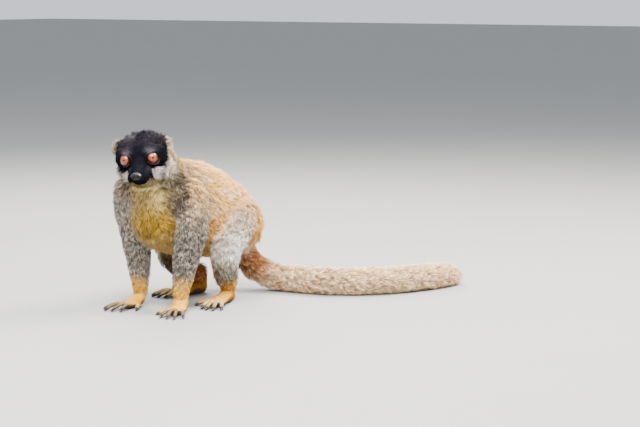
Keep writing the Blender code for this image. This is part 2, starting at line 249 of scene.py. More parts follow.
@dataclass(frozen=True)
class Paw:
    """A hand or foot: its place, splay, body and digits, which point along -Y with the thumb towards -X."""

    name: str
    zone: Zone
    at: Triple
    splay: float
    body: Chain
    digits: tuple[tuple[Triple, ...], ...]
    radii: tuple[float, ...]
    mirrored: bool

    def world(self, point: Triple) -> Rows:
        """Takes a point of the paw's frame to the animal's frame, in millimetres.

        Args:
            point: A place in the paw's frame.

        Returns:
            The place in the animal's frame.
        """
        x, y, z = point
        x = -x if self.mirrored else x
        turn = math.radians(self.splay)
        rx, ry = x * math.cos(turn) - y * math.sin(turn), x * math.sin(turn) + y * math.cos(turn)
        return np.array([rx + self.at[0], ry + self.at[1], z])

    def way(self, vector: Triple) -> Rows:
        """Turns a direction of the paw's frame into the animal's frame."""
        return self.world(vector) - self.world((0, 0, 0))


HAND_BODY = (
    ((0, 1, 38), 12.5, 12.5),
    ((0, 0, 24), 11.0, 11.0),
    ((0, -5, 12.5), 11.5, 9.5),
    ((0, -18, 8.5), 13.5, 7.2),
    ((0, -31, 7.5), 12.5, 5.6),
)
HAND_DIGITS = (
    ((-7, -10, 7), (-17, -22, 7), (-24, -31, 5.4), (-29, -39, 3.2)),
    ((-8.5, -27, 7.5), (-12, -42, 10), (-15, -53, 7), (-17, -61.5, 3.4)),
    ((-3, -29, 7.5), (-4, -46, 11), (-5, -59, 7.4), (-5.5, -69.5, 3.4)),
    ((3, -29, 7.5), (4, -47, 11), (6, -61, 7.4), (7, -72, 3.4)),
    ((8.5, -26, 7.5), (12, -41, 10), (16, -52, 7), (19, -61.5, 3.4)),
)
FOOT_BODY = (
    ((0, 0, 36), 13.5, 14.5),
    ((0, 2, 24), 12.5, 13.5),
    ((0, 3, 13), 11.5, 12.5),
    ((-1, -16, 10), 11.5, 9.0),
    ((-1, -35, 8), 13.5, 6.8),
    ((0, -48, 7.2), 12.5, 5.6),
)
FOOT_DIGITS = (
    ((-7, -22, 7.5), (-19, -36, 8), (-27, -46, 6.5), (-33.5, -55, 3.9)),
    ((-7.5, -45, 7.5), (-11, -60, 10), (-13, -71, 7), (-14, -79.5, 3.6)),
    ((-2.5, -47, 7.5), (-3, -64, 11), (-3.5, -77, 7.4), (-4, -86.5, 3.6)),
    ((3, -47, 7.5), (5, -65, 11), (7, -78, 7.4), (8.5, -88.5, 3.6)),
    ((8, -44, 7.5), (13, -60, 10), (17, -72, 7), (20, -80.5, 3.6)),
)
HAND_RADII = (3.4, 2.9, 2.6, 2.3)
FOOT_RADII = (3.8, 3.3, 2.9, 2.5)
PAWS = (
    Paw("hand_left", Zone.HAND_LEFT, (47, -80, 0), 26, HAND_BODY, HAND_DIGITS, HAND_RADII, False),
    Paw("hand_right", Zone.HAND_RIGHT, (-40, -77, 0), -4, HAND_BODY, HAND_DIGITS, HAND_RADII, True),
    Paw("foot_left", Zone.FOOT_LEFT, (50, 33, 0), 18, FOOT_BODY, FOOT_DIGITS, FOOT_RADII, False),
    Paw("foot_right", Zone.FOOT_RIGHT, (-42, 74, 0), -16, FOOT_BODY, FOOT_DIGITS, FOOT_RADII, True),
)


def guide_line(
    zone: Zone, *stops: tuple[Triple, float, float, float], pull: Triple = (0.0, 0.0, 0.0), along: float = 1.0
) -> Guide:
    """A guide from plain numbers: middle, radius, coat depth and lock length at each stop."""
    return Guide(zone, tuple(Stop(*stop) for stop in stops), pull, along)


def paw_guide(paw: Paw) -> Guide:
    """A guide from the wrist or ankle to the tips of the digits.

    Args:
        paw: The hand or foot.

    Returns:
        Its guide.
    """
    reach = paw.digits[2][-1][1]
    start, knuckle, tip = paw.world((0, 0, 26)), paw.world((0, -8, 10)), paw.world((0, reach, 5))
    return guide_line(
        paw.zone, (tuple(start), 12, 1.2, 5), (tuple(knuckle), 14, 1.0, 4), (tuple(tip), 22, 0.5, 2.6)
    )


HANG = (0.0, 0.0, -0.25)
GUIDES = (
    guide_line(
        Zone.TRUNK,
        ((0, -95, 168), 52, 6.5, 15),
        ((0, -62, 164), 60, 7.5, 17),
        ((0, -28, 157), 66, 7.5, 16),
        ((0, 38, 142), 66, 7.5, 16),
        ((0, 100, 116), 56, 7.5, 17),
        ((0, 132, 102), 40, 7.5, 17),
        pull=(0.0, 0.75, -0.66),
        along=0.0,
    ),
    guide_line(
        Zone.NECK,
        ((2, -100, 232), 40, 6, 13),
        ((0, -76, 206), 43, 7, 16),
        pull=(0.0, 0.6, -0.8),
        along=0.0,
    ),
    guide_line(
        Zone.ARM_LEFT,
        ((41, -54, 182), 31, 6.5, 15),
        ((47, -58, 140), 29, 6.5, 14),
        ((50, -61, 108), 24, 6, 13),
        ((49, -68, 84), 21, 5, 12),
        ((48, -75, 58), 17.5, 4, 10),
        ((47, -80, 38), 14.5, 2.2, 6.5),
        ((47, -82, 20), 12.5, 1.3, 5),
        pull=HANG,
    ),
    guide_line(
        Zone.ARM_RIGHT,
        ((-38, -85, 198), 31, 6.5, 15),
        ((-44, -86, 178), 32, 6.5, 15),
        ((-46, -84, 140), 28, 6.5, 14),
        ((-46, -79, 108), 24, 6, 13),
        ((-44, -77, 84), 21, 5, 12),
        ((-42, -77, 58), 17.5, 4, 10),
        ((-40, -78, 38), 14.5, 2.2, 6.5),
        ((-40, -79, 20), 12.5, 1.3, 5),
        pull=HANG,
    ),
    guide_line(
        Zone.LEG_LEFT,
        ((36, 82, 130), 36, 7, 17),
        ((53, 38, 114), 32, 7, 16),
        ((61, 16, 97), 26, 6, 14),
        ((60, 14, 76), 23, 5.5, 12),
        ((56, 20, 54), 20.5, 5, 11),
        ((52, 29, 36), 17.5, 3.2, 7.5),
        ((50, 33, 20), 14, 1.4, 5),
        pull=HANG,
    ),
    guide_line(
        Zone.LEG_RIGHT,
        ((-36, 84, 128), 36, 7, 17),
        ((-48, 37, 105), 32, 7, 16),
        ((-54, 7, 87), 26, 6, 14),
        ((-53, 14, 67), 21, 5, 12),
        ((-50, 35, 47), 18, 4.2, 10),
        ((-44, 65, 33), 15.5, 2.8, 7),
        ((-42, 74, 18), 13.5, 1.4, 5),
        pull=HANG,
    ),
    guide_line(
        Zone.TAIL,
        ((1, 122, 76), 24, 8.5, 17),
        ((5, 137, 57), 23.5, 9.5, 19),
        ((15, 151, 39), 23, 10, 20),
        ((36, 163, 26), 22.8, 10, 20),
        ((66, 170, 22.2), 22.5, 10, 20),
        ((102, 176, 22.2), 22.5, 10, 20),
        ((142, 187, 22.2), 22.5, 10, 20),
        ((178, 208, 22.2), 22.5, 10, 20),
        ((206, 238, 22.2), 22.5, 10, 20),
        ((227, 272, 22.2), 22.5, 10.5, 20),
        ((242, 308, 22.2), 22.5, 11, 20),
        ((252, 344, 21.4), 21.8, 11, 20),
        ((257, 376, 19.6), 20, 11, 20),
        ((259, 392, 16), 14, 9, 18),
    ),
    *(paw_guide(paw) for paw in PAWS),
)
ZONES = [line.zone for line in GUIDES] + [Zone.HEAD]
ARMS = (Zone.ARM_LEFT, Zone.ARM_RIGHT)
LEGS = (Zone.LEG_LEFT, Zone.LEG_RIGHT)
HANDS = (Zone.HAND_LEFT, Zone.HAND_RIGHT)
FEET = (Zone.FOOT_LEFT, Zone.FOOT_RIGHT)
HEAD_MIDDLE = np.array([0.0, -8.0, 0.0])
HEAD_REACH = np.array([37.0, 44.0, 34.0])
HEAD_BACK, HEAD_FADE = 34.0, 12.0
EAR_EDGE, LID_EDGE, PAW_EDGE = (1.35, 1.1), (15.0, 11.5), (40, 22)
RUFF_DEPTH, RUFF_LENGTH = 2.0, 3.0
SHARPNESS = 8
NOSE_TIP = np.array([0.0, -76.0, -4.0])


@dataclass(frozen=True)
class HeadMeasure:
    """One measure of the head's coat in millimetres: all over, what parts add, and on ears and lids."""

    base: float
    muzzle: float
    crown: float
    temple: float
    ruff: float
    back: float
    ear: float
    hollow: float
    lid: float


HEAD_LENGTH = HeadMeasure(3.8, -1.9, 4.4, 4.0, 8.0, 5.0, ear=3.8, hollow=-1.4, lid=2.0)
HEAD_DEPTH = HeadMeasure(1.2, -0.6, 2.4, 2.0, 4.5, 2.0, ear=1.1, hollow=0.0, lid=0.5)


class Field:
    """What the coat does at any place on the body: its zone, depth, lock length and lie."""

    def __init__(self, points: Rows) -> None:
        """Reads every guide at the points.

        Args:
            points: Places in metres, in the row frame.
        """
        self.place = points / MM - ORIGIN
        self.head = HEAD.local(points)
        nearest = np.minimum(Ear(1).ratio(self.head), Ear(-1).ratio(self.head))
        self.ear = ease(nearest, *EAR_EDGE)
        self.ear_hollow = np.maximum(Ear(1).hollow(self.head), Ear(-1).hollow(self.head)) * self.ear
        self.lid = ease(np.minimum(*(EyeSocket.reach(self.head, side) for side in SIDES)), *LID_EDGE)
        readings = [guide.measure(self.place) for guide in GUIDES]
        ratios = np.array([reading["ratio"] for reading in readings])
        skull = np.linalg.norm((self.head - HEAD_MIDDLE) / HEAD_REACH, axis=1)
        skull *= 1 + np.maximum(0, self.head[:, 1] - HEAD_BACK) / HEAD_FADE
        weights = 1 / (np.vstack([ratios, skull]) ** SHARPNESS + 1e-4)
        weights[[ZONES.index(zone) for zone in (*HANDS, *FEET)]] *= ease(self.place[:, 2], *PAW_EDGE)
        weights /= weights.sum(0)
        self.weights = dict(zip(ZONES, weights))
        depths = np.array([reading["depth"] for reading in readings] + [self.over_head(HEAD_DEPTH)])
        lengths = np.array([reading["length"] for reading in readings] + [self.over_head(HEAD_LENGTH)])
        seam = 4 * self.weights[Zone.HEAD] * self.weights[Zone.NECK]
        self.depth = (weights * depths).sum(0) + RUFF_DEPTH * seam
        self.length = (weights * lengths).sum(0) + RUFF_LENGTH * seam
        neck = readings[ZONES.index(Zone.NECK)]
        throat = ease(-unit(neck["away"])[:, 1:2], 0.0, 0.7)
        neck["flow"] = neck["flow"] + throat * np.array([0.0, -0.8, -0.3])
        flows = [unit(reading["flow"]) for reading in readings] + [self.head_flow()]
        self.flow = sum(weight[:, None] * flow for weight, flow in zip(weights, flows))
        self.zone = np.argmax(weights, axis=0)
        self.run = np.array([reading["run"] for reading in readings] + [np.zeros(len(points))])
        self.away = [reading["away"] for reading in readings]

    def over_head(self, measure: HeadMeasure) -> Rows:
        """Spreads a measure of the coat over the head.

        Args:
            measure: Its value, and what each part of the head adds to it.

        Returns:
            The measure at each place, in millimetres.
        """
        crown, temple, ruff, back, muzzle = self.head_parts()
        out = measure.base + measure.muzzle * muzzle + measure.crown * crown
        out = out + measure.temple * temple + measure.ruff * ruff + measure.back * back
        out = out * (1 - self.ear) + (measure.ear + measure.hollow * self.ear_hollow) * self.ear
        return out * (1 - self.lid) + measure.lid * self.lid

    def head_parts(self) -> tuple[Rows, Rows, Rows, Rows, Rows]:
        """How far each place lies on the crown, temples, ruff of the cheeks, nape and muzzle, 0 to 1.

        Returns:
            One cover for each of them, 0 to 1.
        """
        x, y, z = np.abs(self.head[:, 0]), self.head[:, 1], self.head[:, 2]
        crown = ease(z, 12, 27) * ease(y, -30, -6)
        temple = ease(x, 25, 33) * ease(y, -27, -14) * ease(z, -12, 0)
        ruff = ease(x, 14, 28) * ease(z, 0, -12) * ease(y, -42, -18)
        return crown, temple, ruff, ease(y, 2, 26), ease(y, -32, -48)

    def head_flow(self) -> Rows:
        """Hair runs back from the nose tip, over the face, crown and cheeks.

        Returns:
            Unit directions in the row frame.
        """
        way = unit(self.head - NOSE_TIP)
        way[:, 2] -= 0.45 * ease(np.abs(self.head[:, 0]), 14, 30) * ease(self.head[:, 2], 8, -12)
        way[:, 2] -= 0.8 * ease(self.head[:, 1], 6, 30)
        for side in SIDES:
            off = self.head - EyeSocket.seat(side)
            aim = EyeSocket.opening(side)
            cover = ease(EyeSocket.reach(self.head, side), 19, 13)[:, None]
            way = way * (1 - 0.6 * cover) + unit(off - (off @ aim)[:, None] * aim) * cover
            out = unit(self.head - np.array([side * 33.0, 6.0, 11.0])) * np.array([0.7, 1.0, 0.8])
            cover = ease(Ear(side).ratio(self.head), 1.5, 1.2) * ease(self.head[:, 0] * side, 24, 32)
            way = way * (1 - cover[:, None]) + (out + np.array([0, 0.45, 0])) * cover[:, None]
        return unit(way) @ HEAD.axes


# ------------------------------------------------------------------ markings
@dataclass(frozen=True)
class Pelage:
    """The coat's colours as linear light, named by where they grow; a few stand for painted shade or
    highlight.
    """

    arm: Triple = (0.370, 0.318, 0.270)
    nape: Triple = (0.425, 0.258, 0.100)
    # Dark hair on the shoulder beside the neck, with painted shadow of the head.
    shoulder_patch_and_shadow: Triple = (0.085, 0.067, 0.053)
    back: Triple = (0.970, 0.585, 0.210)
    rump: Triple = (0.970, 0.475, 0.095)
    flank: Triple = (0.700, 0.365, 0.085)
    haunch: Triple = (0.430, 0.365, 0.300)
    thigh: Triple = (0.720, 0.580, 0.440)
    shin: Triple = (0.225, 0.183, 0.130)
    belly: Triple = (0.560, 0.380, 0.130)
    bib: Triple = (0.450, 0.270, 0.034)
    bib_top: Triple = (0.720, 0.520, 0.200)
    bib_low: Triple = (0.175, 0.103, 0.015)
    throat: Triple = (1.000, 0.800, 0.310)
    cream: Triple = (0.800, 0.700, 0.540)
    # Near-white for pale hair and for painted highlights on the knee and the back's top.
    pale_and_highlight: Triple = (1.000, 0.960, 0.880)
    gold: Triple = (0.960, 0.500, 0.060)
    digit: Triple = (0.640, 0.480, 0.230)
    tip: Triple = (0.055, 0.045, 0.043)
    # Painted sheen for the sides of the black muzzle.
    muzzle: Triple = (0.036, 0.033, 0.044)
    fawn: Triple = (0.850, 0.395, 0.065)
    rust: Triple = (0.470, 0.150, 0.035)
    tail_rust: Triple = (0.340, 0.125, 0.036)
    # Grey for the cheeks' painted shade band, and for the grey-tipped locks that pepper the crown.
    cheek_shade_and_pepper: Triple = (0.150, 0.142, 0.138)
    # Dark brown for painted shade on the far thigh.
    far_thigh_shade: Triple = (0.120, 0.080, 0.038)
    tail: Triple = (1.000, 0.630, 0.360)
    # Darker tail colour for painted shade on the tail's sides.
    tail_side_shade: Triple = (0.570, 0.430, 0.285)
    black: Triple = (0.0070, 0.0072, 0.0102)
    crown: Triple = (0.0170, 0.0142, 0.0190)
    # Grey of the brows, also used for a painted highlight on the crown.
    brow_grey_and_highlight: Triple = (0.064, 0.058, 0.068)
    grey: Triple = (0.260, 0.235, 0.215)
    cheek: Triple = (0.780, 0.690, 0.660)
    jowl: Triple = (0.880, 0.760, 0.480)
    ear: Triple = (0.500, 0.415, 0.310)
    ear_hollow: Triple = (0.110, 0.078, 0.066)
    lid: Triple = (0.085, 0.042, 0.034)
    rim: Triple = (0.004, 0.003, 0.003)


COLOURS = Pelage()


def lay_colour(base: Rows, colour: Triple, mask: Rows) -> Rows:
    """Lays one colour over others, one to a row, by a mask of 0 to 1."""
    mask = np.clip(mask, 0, 1)[:, None]
    return base * (1 - mask) + np.array(colour) * mask


class Tones:
    """Colours laid one over another, one to a row."""

    def __init__(self, base: Triple, count: int) -> None:
        """Starts with one colour all over."""
        self.rows = np.tile(np.array(base), (count, 1))

    def lay(self, colour: Triple, mask: Rows) -> None:
        """Lays a colour over the others where its mask is high."""
        self.rows = lay_colour(self.rows, colour, mask)

    def dim(self, share: Rows) -> None:
        """Takes a share of the brightness away."""
        self.rows = self.rows * (1 - share)[:, None]


def markings(there: Field, normals: Rows) -> Rows:
    """The coat's colour at each place, the same for the skin and the locks that grow from it.

    Args:
        there: The body's field, read at those places.
        normals: The surface's unit normals in the row frame.

    Returns:
        Linear colours, one to a row.
    """
    c, w, p, q = COLOURS, there.weights, there.place, there.head
    (x, y, z), (nx, ny, nz) = p.T, normals.T
    wobble = ripple(p, 26, 5) * 6
    coat = Tones(c.arm, len(p))
    top = ease(nz, -0.2, 0.6)
    trunk, neck = w[Zone.TRUNK], w[Zone.NECK]
    arm_left, arm_right = (w[zone] for zone in ARMS)
    leg_left, leg_right = (w[zone] for zone in LEGS)
    arm, leg = arm_left + arm_right, leg_left + leg_right
    # Nape, back, rump and flanks.
    coat.lay(c.nape, trunk * ease(z + 0.5 * wobble, 150, 190) * ease(y, -110, -60))
    coat.lay(c.back, trunk * ease(y + wobble, -58, 12) * (0.8 + 0.2 * ease(y, -5, 45)))
    coat.lay(c.rump, trunk * ease(y + wobble, 0, 70) * (0.35 + 0.65 * top))
    coat.lay(c.flank, trunk * ease(y, -40, -10) * ease(z + wobble, 168, 140) * 0.8)
    # Legs, with a grey haunch between the thigh and the tan rump.
    coat.lay(c.thigh, leg * 0.95)
    coat.lay(c.shin, leg * ease(z + wobble, 92, 66))
    coat.lay(c.rump, leg * ease(z + wobble, 150, 172) * 0.8)
    coat.lay(c.haunch, (leg + 0.5 * trunk) * blob(p, (58, 38, 146), (32, 34, 26)) * 0.75)
    coat.lay(c.rump, (leg + trunk) * blob(p, (44, 106, 128), (36, 34, 44)) * 0.9)
    # Rust and pale wisps along the back's top, the pale ones partly painted highlight, and mottled legs.
    streak = p * np.array((1.0, 0.40, 0.8))
    saddle = trunk * ease(nz, -0.1, 0.4) * ease(y, -72, -40)
    coat.lay(c.fawn, 0.75 * saddle * ease(ripple(streak, 12, 91, 20), 0.1, 0.9))
    # Pale streaks on top of the back, partly painted highlight.
    coat.lay(c.pale_and_highlight, 0.42 * saddle * ease(ripple(streak, 8, 92, 20), 0.2, 1.1))
    coat.dim(0.45 * leg * ease(ripple(p * np.array((1.0, 1.0, 0.6)), 11, 93, 20), 0.0, 1.0))
    # Neck, and the golden bib with its pale throat.
    coat.lay(c.nape, neck)
    front = ease(-ny + 0.2 * nz, 0.0, 0.45)
    coat.lay(c.cream, neck * ease(nz, 0.5, -0.1) * 0.25)
    narrow = 32 + 0.16 * np.clip(190 - z, 0, 50) - 0.35 * np.maximum(0, z - 190)
    bib = ease(np.abs(x - 6) + wobble * 0.8, narrow + 7, narrow - 14) * ease(y, -12, -40) * front
    bib *= (trunk + neck) * ease(z, 224, 212)
    coat.lay(c.bib, bib)
    coat.lay(c.bib_top, bib * ease(z + wobble, 150, 190) * 0.8)
    coat.lay(c.bib_low, bib * ease(z + wobble, 148, 118) * 0.9)
    coat.lay(c.arm, bib * ease(x + wobble, 0, -26) * 0.5)
    coat.lay(c.throat, (trunk + neck) * blob(p, (2, -114, 199), (30, 24, 12)))
    coat.lay(c.jowl, 0.75 * (trunk + neck) * blob(p, (17, -102, 212), (16, 14, 7)))
    # Ticked arms and the ruffled side of the neck.
    coat.dim(0.42 * arm * ease(ripple(p, 10, 77, 24) + 0.8 * ripple(p, 5, 78, 24), 0.0, 1.0))
    mottle = np.clip(1.3 * neck + blob(p, (44, -96, 200), (26, 30, 34)), 0, 1) * (1 - bib) * ease(z, 238, 222)
    coat.dim(0.78 * mottle * ease(ripple(p, 12, 79, 20) + 0.9 * ripple(p, 5.5, 80, 20), 0.1, 0.9))
    # Belly, the upper arms' turn from the back's tan to grey, and painted shade lower on the arms.
    under = ease(-nz, 0.2, 0.8) * trunk
    coat.lay(c.belly, under * ease(y, 60, 0))
    coat.lay(c.cream, under * ease(y, 0, 60) * 0.8)
    coat.lay(c.nape, (arm_left + 0.4 * arm_right) * ease(z + wobble, 162, 192) * 0.7)
    coat.lay(c.back, arm * ease(y, -100, -55) * ease(z + wobble, 130, 175) * 0.55)
    # Painted shade on the forearms, most on the left arm.
    coat.dim((0.22 * arm_left + 0.06 * arm_right) * ease(z + wobble, 150, 120))
    # The dark patch on the shoulder, partly dark ticked hair and partly painted shadow of the head, and cream
    # under the arms and behind the cheeks.
    # Dark hair and painted shadow of the head beside the neck.
    shade = blob(p, (39, -88, 203), (18, 30, 29)) + 0.55 * blob(p, (47, -90, 172), (16, 26, 26))
    shade = ease(shade, 0.20, 0.60) * (0.76 + 0.24 * ease(ripple(p, 9, 83, 16), -0.9, 0.4))
    coat.lay(c.shoulder_patch_and_shadow, 0.97 * shade * (1 - 0.1 * bib) * (1 - w[Zone.HEAD]))
    coat.lay(c.cream, arm * ease(-nz, 0.15, 0.7) * 0.7)
    rim = blob(q, (33, 0, -14), (10, 13, 15)) + blob(q, (-33, 0, -14), (10, 13, 15))
    coat.lay(c.cream, rim * 1.3)
    # Gold below the wrists and ankles, rust on the heels and inner legs, a pale knee that is partly painted
    # highlight.
    low = np.where(y < -20, ease(z + wobble * 0.8, 62, 34), ease(z + wobble * 0.8, 50, 24))
    limbs = arm + leg + sum(w[zone] for zone in (*HANDS, *FEET))
    coat.lay(c.gold, low * limbs)
    coat.lay(c.rust, 0.38 * low * limbs * ease(ripple(p, 11, 91, 16), 0.1, 1.2))
    heel = ease(z, 8, 20) * ease(z, 78, 52) * ease(y, 20, 44)
    coat.lay(c.rust, 0.6 * (leg_right + w[Zone.FOOT_RIGHT]) * heel)
    inner = leg_right * ease(nx, 0.0, 0.6) + leg_left * ease(-nx, 0.0, 0.6)
    coat.lay(c.rust, inner * ease(z, 14, 40) * ease(z, 120, 90) * 0.75)
    # Pale knee patch, partly painted highlight.
    coat.lay(c.pale_and_highlight, blob(p, (70, 26, 90), (26, 30, 24)) * leg * 1.3)
    # Tail, darker on its sides as painted shade, with a rust root.
    coat.lay(c.tail, w[Zone.TAIL])
    side = 1 - np.abs(nz)
    # Painted shade: the tail's sides darker than its top.
    coat.lay(c.tail_side_shade, w[Zone.TAIL] * ease(side, 0.5, 1.0) * 0.6)
    coat.lay(c.tail_rust, blob(p, (8, 138, 60), (42, 36, 40)) * 1.1)
    # The far leg's thigh darkened as painted shade, with its pale front edge.
    far = ease(nx - 0.5 * ny, 0.0, 0.5) * ease(z, 40, 60) * ease(z, 130, 104)
    # Painted shade on the far thigh where it faces inward and forward.
    coat.lay(c.far_thigh_shade, 0.9 * leg_right * far)
    coat.lay(c.cream, leg_right * bump(nx + 0.35, 0, 0.22) * ease(y, 34, 18) * 0.7)
    # Digits darken towards their tips and their undersides.
    for paw in PAWS:
        here = w[paw.zone]
        end = min(digit[-1][1] for digit in paw.digits)
        past = (p - np.array(paw.at)) @ unit(paw.way((0, 1, 0))) - end + wobble
        coat.lay(c.digit, 0.85 * here * ease(past, 52, 30))
        if paw.zone in HANDS:
            coat.lay(c.tip, 0.72 * here * ease(past, 36, 20))
        else:
            coat.lay(c.rust, 0.34 * here * ease(past, 28, 62))
            coat.lay(c.tip, 0.40 * here * ease(past, 24, 8))
        coat.lay(c.tip, 0.8 * here * ease(nz, 0.45, -0.15) * ease(z, 20, 10))
        for digit in paw.digits:
            near = np.linalg.norm(p - paw.world(digit[-1]), axis=1)
            coat.lay(c.tip, here * ease(near, 7.5, 4))
    return head_markings(coat.rows, w[Zone.HEAD], q)


def head_markings(colour: Rows, cover: Rows, q: Rows) -> Rows:
    """Lays the head's own markings: black face and crown, grey brows, pale cheeks and dark lids.

    Args:
        colour: The body's colours so far.
        cover: How far each place belongs to the head, 0 to 1.
        q: The places in the head's frame, in millimetres.

    Returns:
        The colours with the head's laid over.
    """
    c = COLOURS
    ax = np.abs(q[:, 0])
    x, y, z = q.T
    wobble = ripple(q, 9, 31) * 1.4
    # Where the pale cheeks are: outside the muzzle and below the eyes; on the right side their top edge sits
    # lower, leaving black there as painted shade.
    inner = 14.5 + 0.35 * np.maximum(0, -30 - y)
    # Painted shade: the right cheek's pale edge is lowered by 3 mm.
    drop = 3.0 * ease(x, 0, -12)
    pale = ease(z + 0.12 * (ax - 20) + wobble + drop, -6.5, -11) * ease(ax + wobble, inner, inner + 4)
    pale = np.maximum(pale, ease(ax, 30, 36) * ease(z + wobble, -2, -8))
    # Black face, dark crown, nape, cheeks with a grey band of painted shade, and jowls.
    head = Tones(c.black, len(q))
    head.lay(c.crown, ease(z + wobble, 12, 22) * ease(y, -28, -14))
    head.lay(c.grey, 0.4 * ease(y + wobble, 30, 38) ** 2 * ease(z, 10, 20))
    head.lay(c.nape, ease(y + 2 * wobble, 30, 46) ** 2 * ease(z, -10, 10))
    # Painted highlight: a grey patch where rim light catches the hair on the crown's right side, in the
    # brows' grey.
    head.lay(c.brow_grey_and_highlight, 0.9 * blob(q, (-13, 3, 27), (9, 9, 5)))
    head.lay(c.cheek, pale * ease(y, -54, -42))
    # Painted shade: a grey band down each pale cheek.
    head.lay(c.cheek_shade_and_pepper, 0.95 * pale * bump(ax + 0.3 * wobble, 26.5, 3.6) * ease(y, -34, -22))
    head.lay(c.cream, pale * ease(y + wobble, -10, 8))
    head.lay(c.jowl, ease(z + wobble, -17, -23) * ease(y, -44, -32) * ease(ax - 0.3 * y, 22, 26))
    head.lay(c.nape, ease(y + wobble, 4, 12) * ease(z, 8, -2))
    # Grey brows, painted sheen on the muzzle's sides, lids and ears; the far ear lies in shade, painted
    # darker.
    for side in SIDES:
        head.lay(c.brow_grey_and_highlight, 0.85 * blob(q, (side * 16.5, -30, 17.6), (6.0, 12, 3.4)))
        head.lay(c.brow_grey_and_highlight, 0.85 * blob(q, (side * 22, -32, 17.2), (7, 11, 2.4)))
        # Painted sheen: a lighter blue-grey on the sides of the black muzzle.
        head.lay(c.muzzle, 0.85 * blob(q, (side * 14, -37, -5), (4.5, 10, 6)))
        past, near = EyeSocket().past(q, side), ease(EyeSocket.reach(q, side), 15, 13)
        low = ease(unit(q - EyeSocket.seat(side))[:, 2], -0.15, -0.45)
        head.lay(c.lid, 0.9 * near * low * ease(past, 21, 12))
        head.lay(c.rim, ease(past, 5, 2.5) * near)
        ear = Ear(side)
        tone = tuple(np.array(c.ear) * (1.0 if side > 0 else 0.45))
        head.lay(tone, ease(ear.ratio(q), 1.25, 1.02) * ease(ax + 0.4 * y + 0.5 * wobble, 35, 39))
        head.lay(c.ear_hollow, ear.hollow(q) * ease(ear.ratio(q), 1.3, 1.05) * 0.85)
    # The black stripe between the brows, and the border with the neck.
    head.lay(c.black, ease(ax + wobble * 0.5, 8, 4.5) * ease(z, -2, 8))
    cover = ease(cover, 0.28, 0.62)[:, None]
    return colour * (1 - cover) + head.rows * cover


# ------------------------------------------------------------------ modelling
class Bench:
    """Adds, shapes and finishes meshes as by hand."""

    @staticmethod
    def clear_selection() -> None:
        """Leaves object mode with nothing selected."""
        if bpy.context.mode != "OBJECT":
            bpy.ops.object.mode_set(mode="OBJECT")
        bpy.ops.object.select_all(action="DESELECT")

    @staticmethod
    def add(name: str, data: bpy.types.ID) -> Obj:
        """Puts new data into the scene as an object of that name.

        Args:
            name: The object's name.
            data: Its mesh, lamp or camera.

        Returns:
            The object.
        """
        obj = bpy.data.objects.new(name, data)
        bpy.context.scene.collection.objects.link(obj)
        return obj

    @staticmethod
    def pick(*objects: Obj) -> None:
        """Selects these objects alone and makes the first one active.

        Args:
            objects: What to select.
        """
        Bench.clear_selection()
        for obj in objects:
            obj.select_set(True)
        bpy.context.view_layer.objects.active = objects[0]

    @staticmethod
    def settle(obj: Obj) -> None:
        """Moves the object's place into its mesh."""
        Bench.pick(obj)
        bpy.ops.object.transform_apply(location=True, rotation=True, scale=True)

    @staticmethod
    def ball(at: Triple, half: Triple, place: Matrix, fineness: int = 20) -> Obj:
        """An ellipsoid.

        Args:
            at: Its middle, in the units of place.
            half: Its half sizes.
            place: Takes those units to the row frame.
            fineness: Rings from pole to pole.

        Returns:
            The new object, with its place in its mesh.
        """
        Bench.clear_selection()
        bpy.ops.mesh.primitive_uv_sphere_add(segments=2 * fineness, ring_count=fineness, radius=1)
        obj = bpy.context.active_object
        obj.data.transform(place @ Matrix.Translation(at) @ Matrix.Diagonal((*half, 1)))
        return obj

    @staticmethod
    def taper(start: Rows, end: Rows, radii: tuple[float, float]) -> list[Obj]:
        """A cone between two points with a ball at its far end.

        Args:
            start: The first point, in metres.
            end: The second point, in metres.
            radii: The radius at each, in metres.

        Returns:
            The cone and the ball.
        """
        Bench.clear_selection()
        way = Vector(end - start)
        bpy.ops.mesh.primitive_cone_add(vertices=24, radius1=radii[0], radius2=radii[1], depth=way.length)
        cone = bpy.context.active_object
        turn = Vector((0, 0, 1)).rotation_difference(way).to_matrix().to_4x4()
        cone.data.transform(Matrix.Translation(Vector((start + end) / 2)) @ turn)
        return [cone, Bench.ball((0, 0, 0), (radii[1],) * 3, Matrix.Translation(Vector(end)), 12)]

    @staticmethod
    def join(pieces: list[Obj], name: str) -> Obj:
        """Joins pieces into one object of that name.

        Args:
            pieces: What to join.
            name: The whole's name.

        Returns:
            The whole.
        """
        Bench.pick(*pieces)
        if len(pieces) > 1:
            bpy.ops.object.join()
        joined = bpy.context.active_object
        joined.name = joined.data.name = name
        return joined

    @staticmethod
    def apply(obj: Obj, kind: str, **settings: object) -> None:
        """Adds one modifier with its settings and applies it.

        Args:
            obj: The object.
            kind: The modifier's type.
            settings: Its settings, by name.
        """
        Bench.pick(obj)
        modifier = obj.modifiers.new(kind.title(), kind)
        for key, value in settings.items():
            setattr(modifier, key, value)
        bpy.ops.object.modifier_apply(modifier=modifier.name)

    @staticmethod
    def fuse(obj: Obj, voxel: float, rounds: int) -> None:
        """One closed surface over all the object's overlapping solids, then smoothed.

        Args:
            obj: The object.
            voxel: The grid's step in millimetres.
            rounds: How many times to smooth.
        """
        Bench.apply(obj, "REMESH", mode="VOXEL", voxel_size=voxel * MM)
        if rounds:
            Bench.apply(obj, "SMOOTH", factor=0.5, iterations=rounds)


def read(items: bpy.types.bpy_prop_collection, name: str, kind: type) -> Rows:
    """Reads three numbers of each item of a mesh.

    Args:
        items: The mesh's vertices, normals or triangles.
        name: What to read of each.
        kind: The numbers' type.

    Returns:
        The numbers, one item to a row.
    """
    out = np.empty(len(items) * 3, kind)
    items.foreach_get(name, out)
    return out.reshape(-1, 3)


